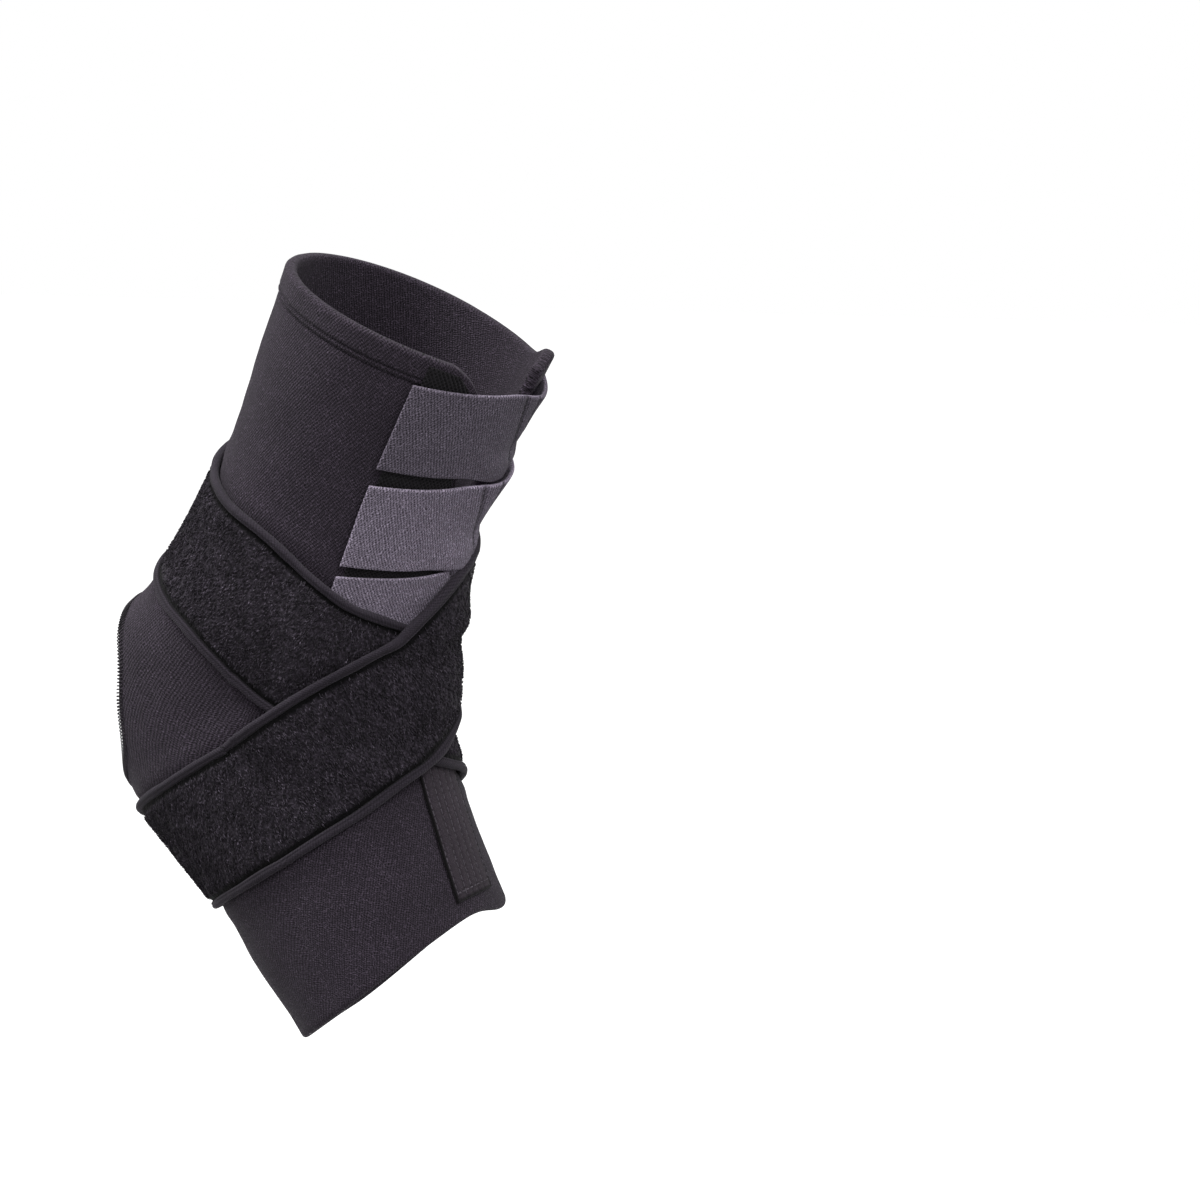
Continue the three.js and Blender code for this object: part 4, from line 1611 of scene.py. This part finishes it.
@dataclass
class Strap:
    """The pile strap with its bindings and hook pad."""

    binding: float = 3.6
    step: float = 1.4
    loops_per_mm2: float = 1.55
    per_piece: int = 9900
    curl: tuple[float, float, float] = (1.2, 0.38, 0.55)
    tooth_pitch: float = 2.9
    core_sunk: float = 0.55
    loops_sunk: float = 0.5
    bead_radius: float = 1.55
    pad_width: float = 30

    def build(self, wardrobe: Wardrobe, route: StrapRoute) -> list[bpy.types.Object]:
        """Builds core, bindings, hook pad and the pile's loops.

        Args:
            wardrobe: what dresses the pieces.
            route: the strap's winding line.

        Returns:
            The core, the bindings, the loops and the hook pad.
        """
        total = route.lengths[-1]
        places = spread(total, self.step)
        wound = route.wound_at(places)
        half = route.width / 2
        core_half = half - self.binding + 0.9
        across = spread(2 * core_half, 1.2) - core_half
        waver = 0.25 * ripple(places, 0 * places, 41, 40)
        distance = across[None] + waver[:, None] * (across / core_half)[None]
        wide = np.broadcast_to(wound[:, None], distance.shape)
        along, turn = route.across(wide, distance)
        low = route.base(along, turn, wide)
        u, v = np.broadcast_to(places[:, None], distance.shape), distance
        near_edge = core_half - np.abs(distance)
        top = LAYERS.strap - self.core_sunk - self.sunk(near_edge)
        soft = 0.14 * ripple(u, v, 42, 9) + 0.14 * ripple(u, v, 43, 3)
        high = low + top + soft
        edge = np.minimum(np.minimum(places, total - places)[:, None], core_half - np.abs(across)[None])
        # Painted shade: the pile's core is darker all over as shade between the loops, and nearly black
        # beside the bindings as the shadowed groove there.
        shade = 0.06 + 0.84 * smooth(near_edge, 1.6, 3.0)
        edge, uv = np.maximum(edge, 0), np.stack([u, v], axis=-1)
        cloth = slab(along, turn, low, high, edge, uv, radius=0.9, shade=shade)
        core = wardrobe.dress(cloth.made("strap_pile"), PILE, "strap")
        pieces = [core]
        for side, node in ((-1, "strap_edge_a"), (1, "strap_edge_b")):
            edge_cloth = self.bead(route, places, wound, side, waver)
            pieces.append(wardrobe.dress(edge_cloth.made(f"{node}_binding"), BINDING, node))
        loops = self.loops(route, core_half)
        for number, part in enumerate(loops):
            pieces.append(wardrobe.dress(part.made(f"strap_loops_{number + 1}"), PILE))
        pad = self.hook_pad(route)
        pieces.append(wardrobe.dress(pad.made("hook_pad_tape"), HOOK, "strap_hook_pad"))
        return pieces

    @staticmethod
    def sunk(near_edge: Array) -> Array:
        """How much lower the pile is beside a binding."""
        return 0.7 * (1 - smooth(near_edge, 0.6, 3.2))

    def bead(self, route: StrapRoute, places: Array, wound: Array, side: int, waver: Array) -> Cloth:
        """A binding: a round bead over the strap's edge, pressed flat below, with a turned-in lip.

        Args:
            route: the strap's winding line.
            places: distances along the strap.
            wound: the angles of winding there.
            side: -1 or 1 for the edge.
            waver: how far the edge strays there.

        Returns:
            The bead.
        """
        count = 32
        angle = 2 * np.pi * (np.arange(count) + 0.5) / count
        wide = self.binding / 2 - 0.2
        outward = wide * power(np.cos(angle), 0.9)
        height = self.bead_radius * (1 + power(np.sin(angle), 0.9))
        fold = dents(np.cos(angle), (-0.25,), 0.16) * (np.sin(angle) > 0)
        height = height - 0.3 * fold
        centre = route.width / 2 - wide
        bulge = 1 + 0.05 * ripple(places, 0 * places, 51 + side, 13)
        distance = side * (centre + outward[None] * bulge[:, None]) + side * waver[:, None]
        around = np.broadcast_to(wound[:, None], distance.shape)
        along, turn = route.across(around, distance)
        base = route.base(along, turn, around)
        end = pinch(np.minimum(places, places[-1] - places), 1.2)[:, None]
        lifted = base + between(self.bead_radius, height[None] * bulge[:, None], end)
        rings = FORM.lifted(along, turn, lifted)
        # Painted shade on the bead's inner side next to the pile, and in its fold line.
        tone = np.where(np.cos(angle) < -0.8, 0.35, 1.0) * (1 - 0.4 * fold)
        shade = np.broadcast_to(tone[None], distance.shape)
        return ringed(rings, places, shade)

    def loops(self, route: StrapRoute, core_half: float) -> list[Cloth]:
        """Curls of pile scattered over the strap's upper side, left out where a winding covers it.

        Args:
            route: the strap's winding line.
            core_half: half the width of the strap between its bindings.

        Returns:
            The curls in parts of a limited number each.
        """
        rng = np.random.default_rng(77)
        total = route.lengths[-1]
        count = int(total * 2 * core_half * self.loops_per_mm2)
        place = rng.uniform(1.5, total - 1.5, count)
        distance = rng.uniform(-core_half + 1.4, core_half - 1.4, count)
        wound = route.wound_at(place)
        along, turn = route.across(wound, distance)
        points = FORM.lifted(along, turn, np.full(count, LAYERS.wall))
        over = route.nearest(points, wound, later=True)
        shown = over > route.width / 2 - 1.5
        teeth = 1.5 + 1.3 * np.sin(np.pi * place / self.tooth_pitch) ** 2
        shown = shown & (core_half - np.abs(distance) > teeth)
        place, distance, wound, along, turn = (x[shown] for x in (place, distance, wound, along, turn))
        base = route.base(along, turn, wound)
        near_edge = core_half - np.abs(distance)
        height = base + LAYERS.strap - self.loops_sunk - self.sunk(near_edge)
        centre = FORM.lifted(along, turn, height)
        normal = FORM.surface(along, turn)[2]
        ahead = FORM.lifted(*route.across(wound - 1, distance), height) - centre
        x = unit(ahead)
        y = np.cross(normal, x)
        spin = rng.normal(np.pi / 2, 0.32, len(place))[:, None]
        first = x * np.cos(spin) + y * np.sin(spin)
        tip = normal + rng.normal(0, 0.25, (len(place), 3))
        second = unit(np.cross(tip, first))
        frames = np.stack([first, second, np.cross(first, second)], axis=1)
        size = np.array(self.curl) * rng.uniform(0.7, 1.3, (len(place), 3))
        seed, faces = grain()
        broad = ripple(place, distance, 61, 7) + ripple(place, distance, 62, 2.4)
        tone = np.exp(rng.normal(0.05, 0.36, len(place)) + 0.28 * broad)
        parts = []
        for begin in range(0, len(place), self.per_piece):
            part = slice(begin, begin + self.per_piece)
            parts.append(copies(seed, faces, frames[part], centre[part], size[part], tone[part]))
        return parts

    def hook_pad(self, route: StrapRoute) -> Cloth:
        """The hook tape under the free end.

        Args:
            route: the strap's winding line.

        Returns:
            The tape.
        """
        start = float(np.interp(-(route.end + route.hook_turn), -route.turns, route.lengths))
        length = route.lengths[-1] - 1 - start
        down = spread(length, 1.2)
        wound = route.wound_at(start + down)
        across = spread(self.pad_width, 1.2) - self.pad_width / 2
        wide = np.broadcast_to(wound[:, None], (len(wound), len(across)))
        along, turn = route.across(wide, np.broadcast_to(across, wide.shape))
        high = route.base(along, turn, wide) - 0.1
        beside = self.pad_width / 2 - np.abs(across)
        edge = np.minimum(np.minimum(down, length - down)[:, None], beside[None])
        uv = np.stack(np.broadcast_arrays(down[:, None], across[None]), axis=-1)
        return slab(along, turn, high - LAYERS.hook, high, edge, uv)


@dataclass
class Studio:
    """The pale floor, the soft lights and the camera."""

    azimuth: float = 22
    elevation: float = 8
    distance: float = 1.25
    mm_per_pixel: float = 0.335
    origin: tuple[float, float] = (303, 612)
    pixels: int = 1200
    above: float = 0.75
    below: float = 0.12

    def axes(self) -> tuple[Vector, Vector, Vector]:
        """The camera's backward, right and up directions.

        Returns:
            The three directions.
        """
        a, e = math.radians(self.azimuth), math.radians(self.elevation)
        back = Vector((math.sin(a) * math.cos(e), -math.cos(a) * math.cos(e), math.sin(e)))
        right = Vector((math.cos(a), math.sin(a), 0))
        return back, right, back.cross(right)

    def camera(self) -> None:
        """Places the camera so that the frame's origin falls on its pixel of the picture."""
        back, right, up = self.axes()
        scale = self.mm_per_pixel / 1000
        half = self.pixels / 2
        target = right * (half - self.origin[0]) * scale + up * (self.origin[1] - half) * scale
        data = bpy.data.cameras.new("camera")
        data.sensor_width = 36
        data.lens = 36 * self.distance / (self.pixels * scale)
        data.clip_start, data.clip_end = 0.05, 50
        camera = bpy.data.objects.new("camera", data)
        turn = Matrix((right, up, back)).transposed().to_4x4()
        camera.matrix_world = Matrix.Translation(target + back * self.distance) @ turn
        bpy.context.scene.collection.objects.link(camera)
        bpy.context.scene.camera = camera

    @staticmethod
    def light(name: str, place: tuple[float, float, float], size: float, watts: float) -> None:
        """A soft square light aimed at the origin.

        Args:
            name: its name.
            place: where it stands.
            size: its side.
            watts: its power.
        """
        data = bpy.data.lights.new(name, "AREA")
        data.size, data.energy = size, watts
        lamp = bpy.data.objects.new(name, data)
        lamp.location = place
        lamp.rotation_euler = (-Vector(place)).to_track_quat("-Z", "Y").to_euler()
        bpy.context.scene.collection.objects.link(lamp)

    def build(self) -> None:
        """Builds the floor, the lights, the sky and the camera."""
        mesh = bpy.data.meshes.new("floor")
        reach, level = 9.0, -0.5
        corners = [(x * reach, y * reach, level) for x, y in ((-1, -1), (1, -1), (1, 1), (-1, 1))]
        mesh.from_pydata(corners, [], [(0, 1, 2, 3)])
        floor = bpy.data.objects.new("floor", mesh)
        floor.visible_diffuse = False
        pale = bpy.data.materials.new("pale_floor")
        pale.use_nodes = True
        shader = pale.node_tree.nodes["Principled BSDF"]
        shader.inputs["Base Color"].default_value = (0.86, 0.86, 0.86, 1)
        shader.inputs["Roughness"].default_value = 0.9
        shader.inputs["Emission Color"].default_value = (1, 1, 1, 1)
        shader.inputs["Emission Strength"].default_value = 0.5
        mesh.materials.append(pale)
        bpy.context.scene.collection.objects.link(floor)
        world = bpy.data.worlds.new("studio")
        world.use_nodes = True
        tree = Tree(world.node_tree)
        sky = world.node_tree.nodes["Background"]
        seen = tree.add("ShaderNodeLightPath").outputs["Is Camera Ray"]
        split = tree.add("ShaderNodeSeparateXYZ")
        tree.join(tree.add("ShaderNodeTexCoord").outputs["Generated"], split.inputs[0])
        dome = tree.ranged(split.outputs["Z"], -0.7, 0.7, self.below, self.above)
        tree.join(tree.ranged(seen, 0.0, 1.0, dome, 1.0), sky.inputs["Strength"])
        sky.inputs["Color"].default_value = (1, 1, 1, 1)
        bpy.context.scene.world = world
        bpy.context.scene.view_settings.view_transform = "Standard"
        self.light("side_left", (-0.95, -0.4, 1.8), 0.9, 42)
        self.light("front_right", (1.2, -0.9, 1.2), 0.9, 16)
        self.camera()


def main() -> None:
    """Builds every piece over the frame, then the studio, and finishes."""
    logging.basicConfig(level=logging.INFO, format="%(message)s")
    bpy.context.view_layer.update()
    route = StrapRoute()
    wardrobe = Wardrobe()
    Sleeve().build(wardrobe, route)
    LoopPatch().build(wardrobe)
    ClosingTabs().build(wardrobe)
    InstepTape().build(wardrobe)
    Strap().build(wardrobe, route)
    Studio().build()
    bpy.context.view_layer.update()


if __name__ == "__main__":
    main()
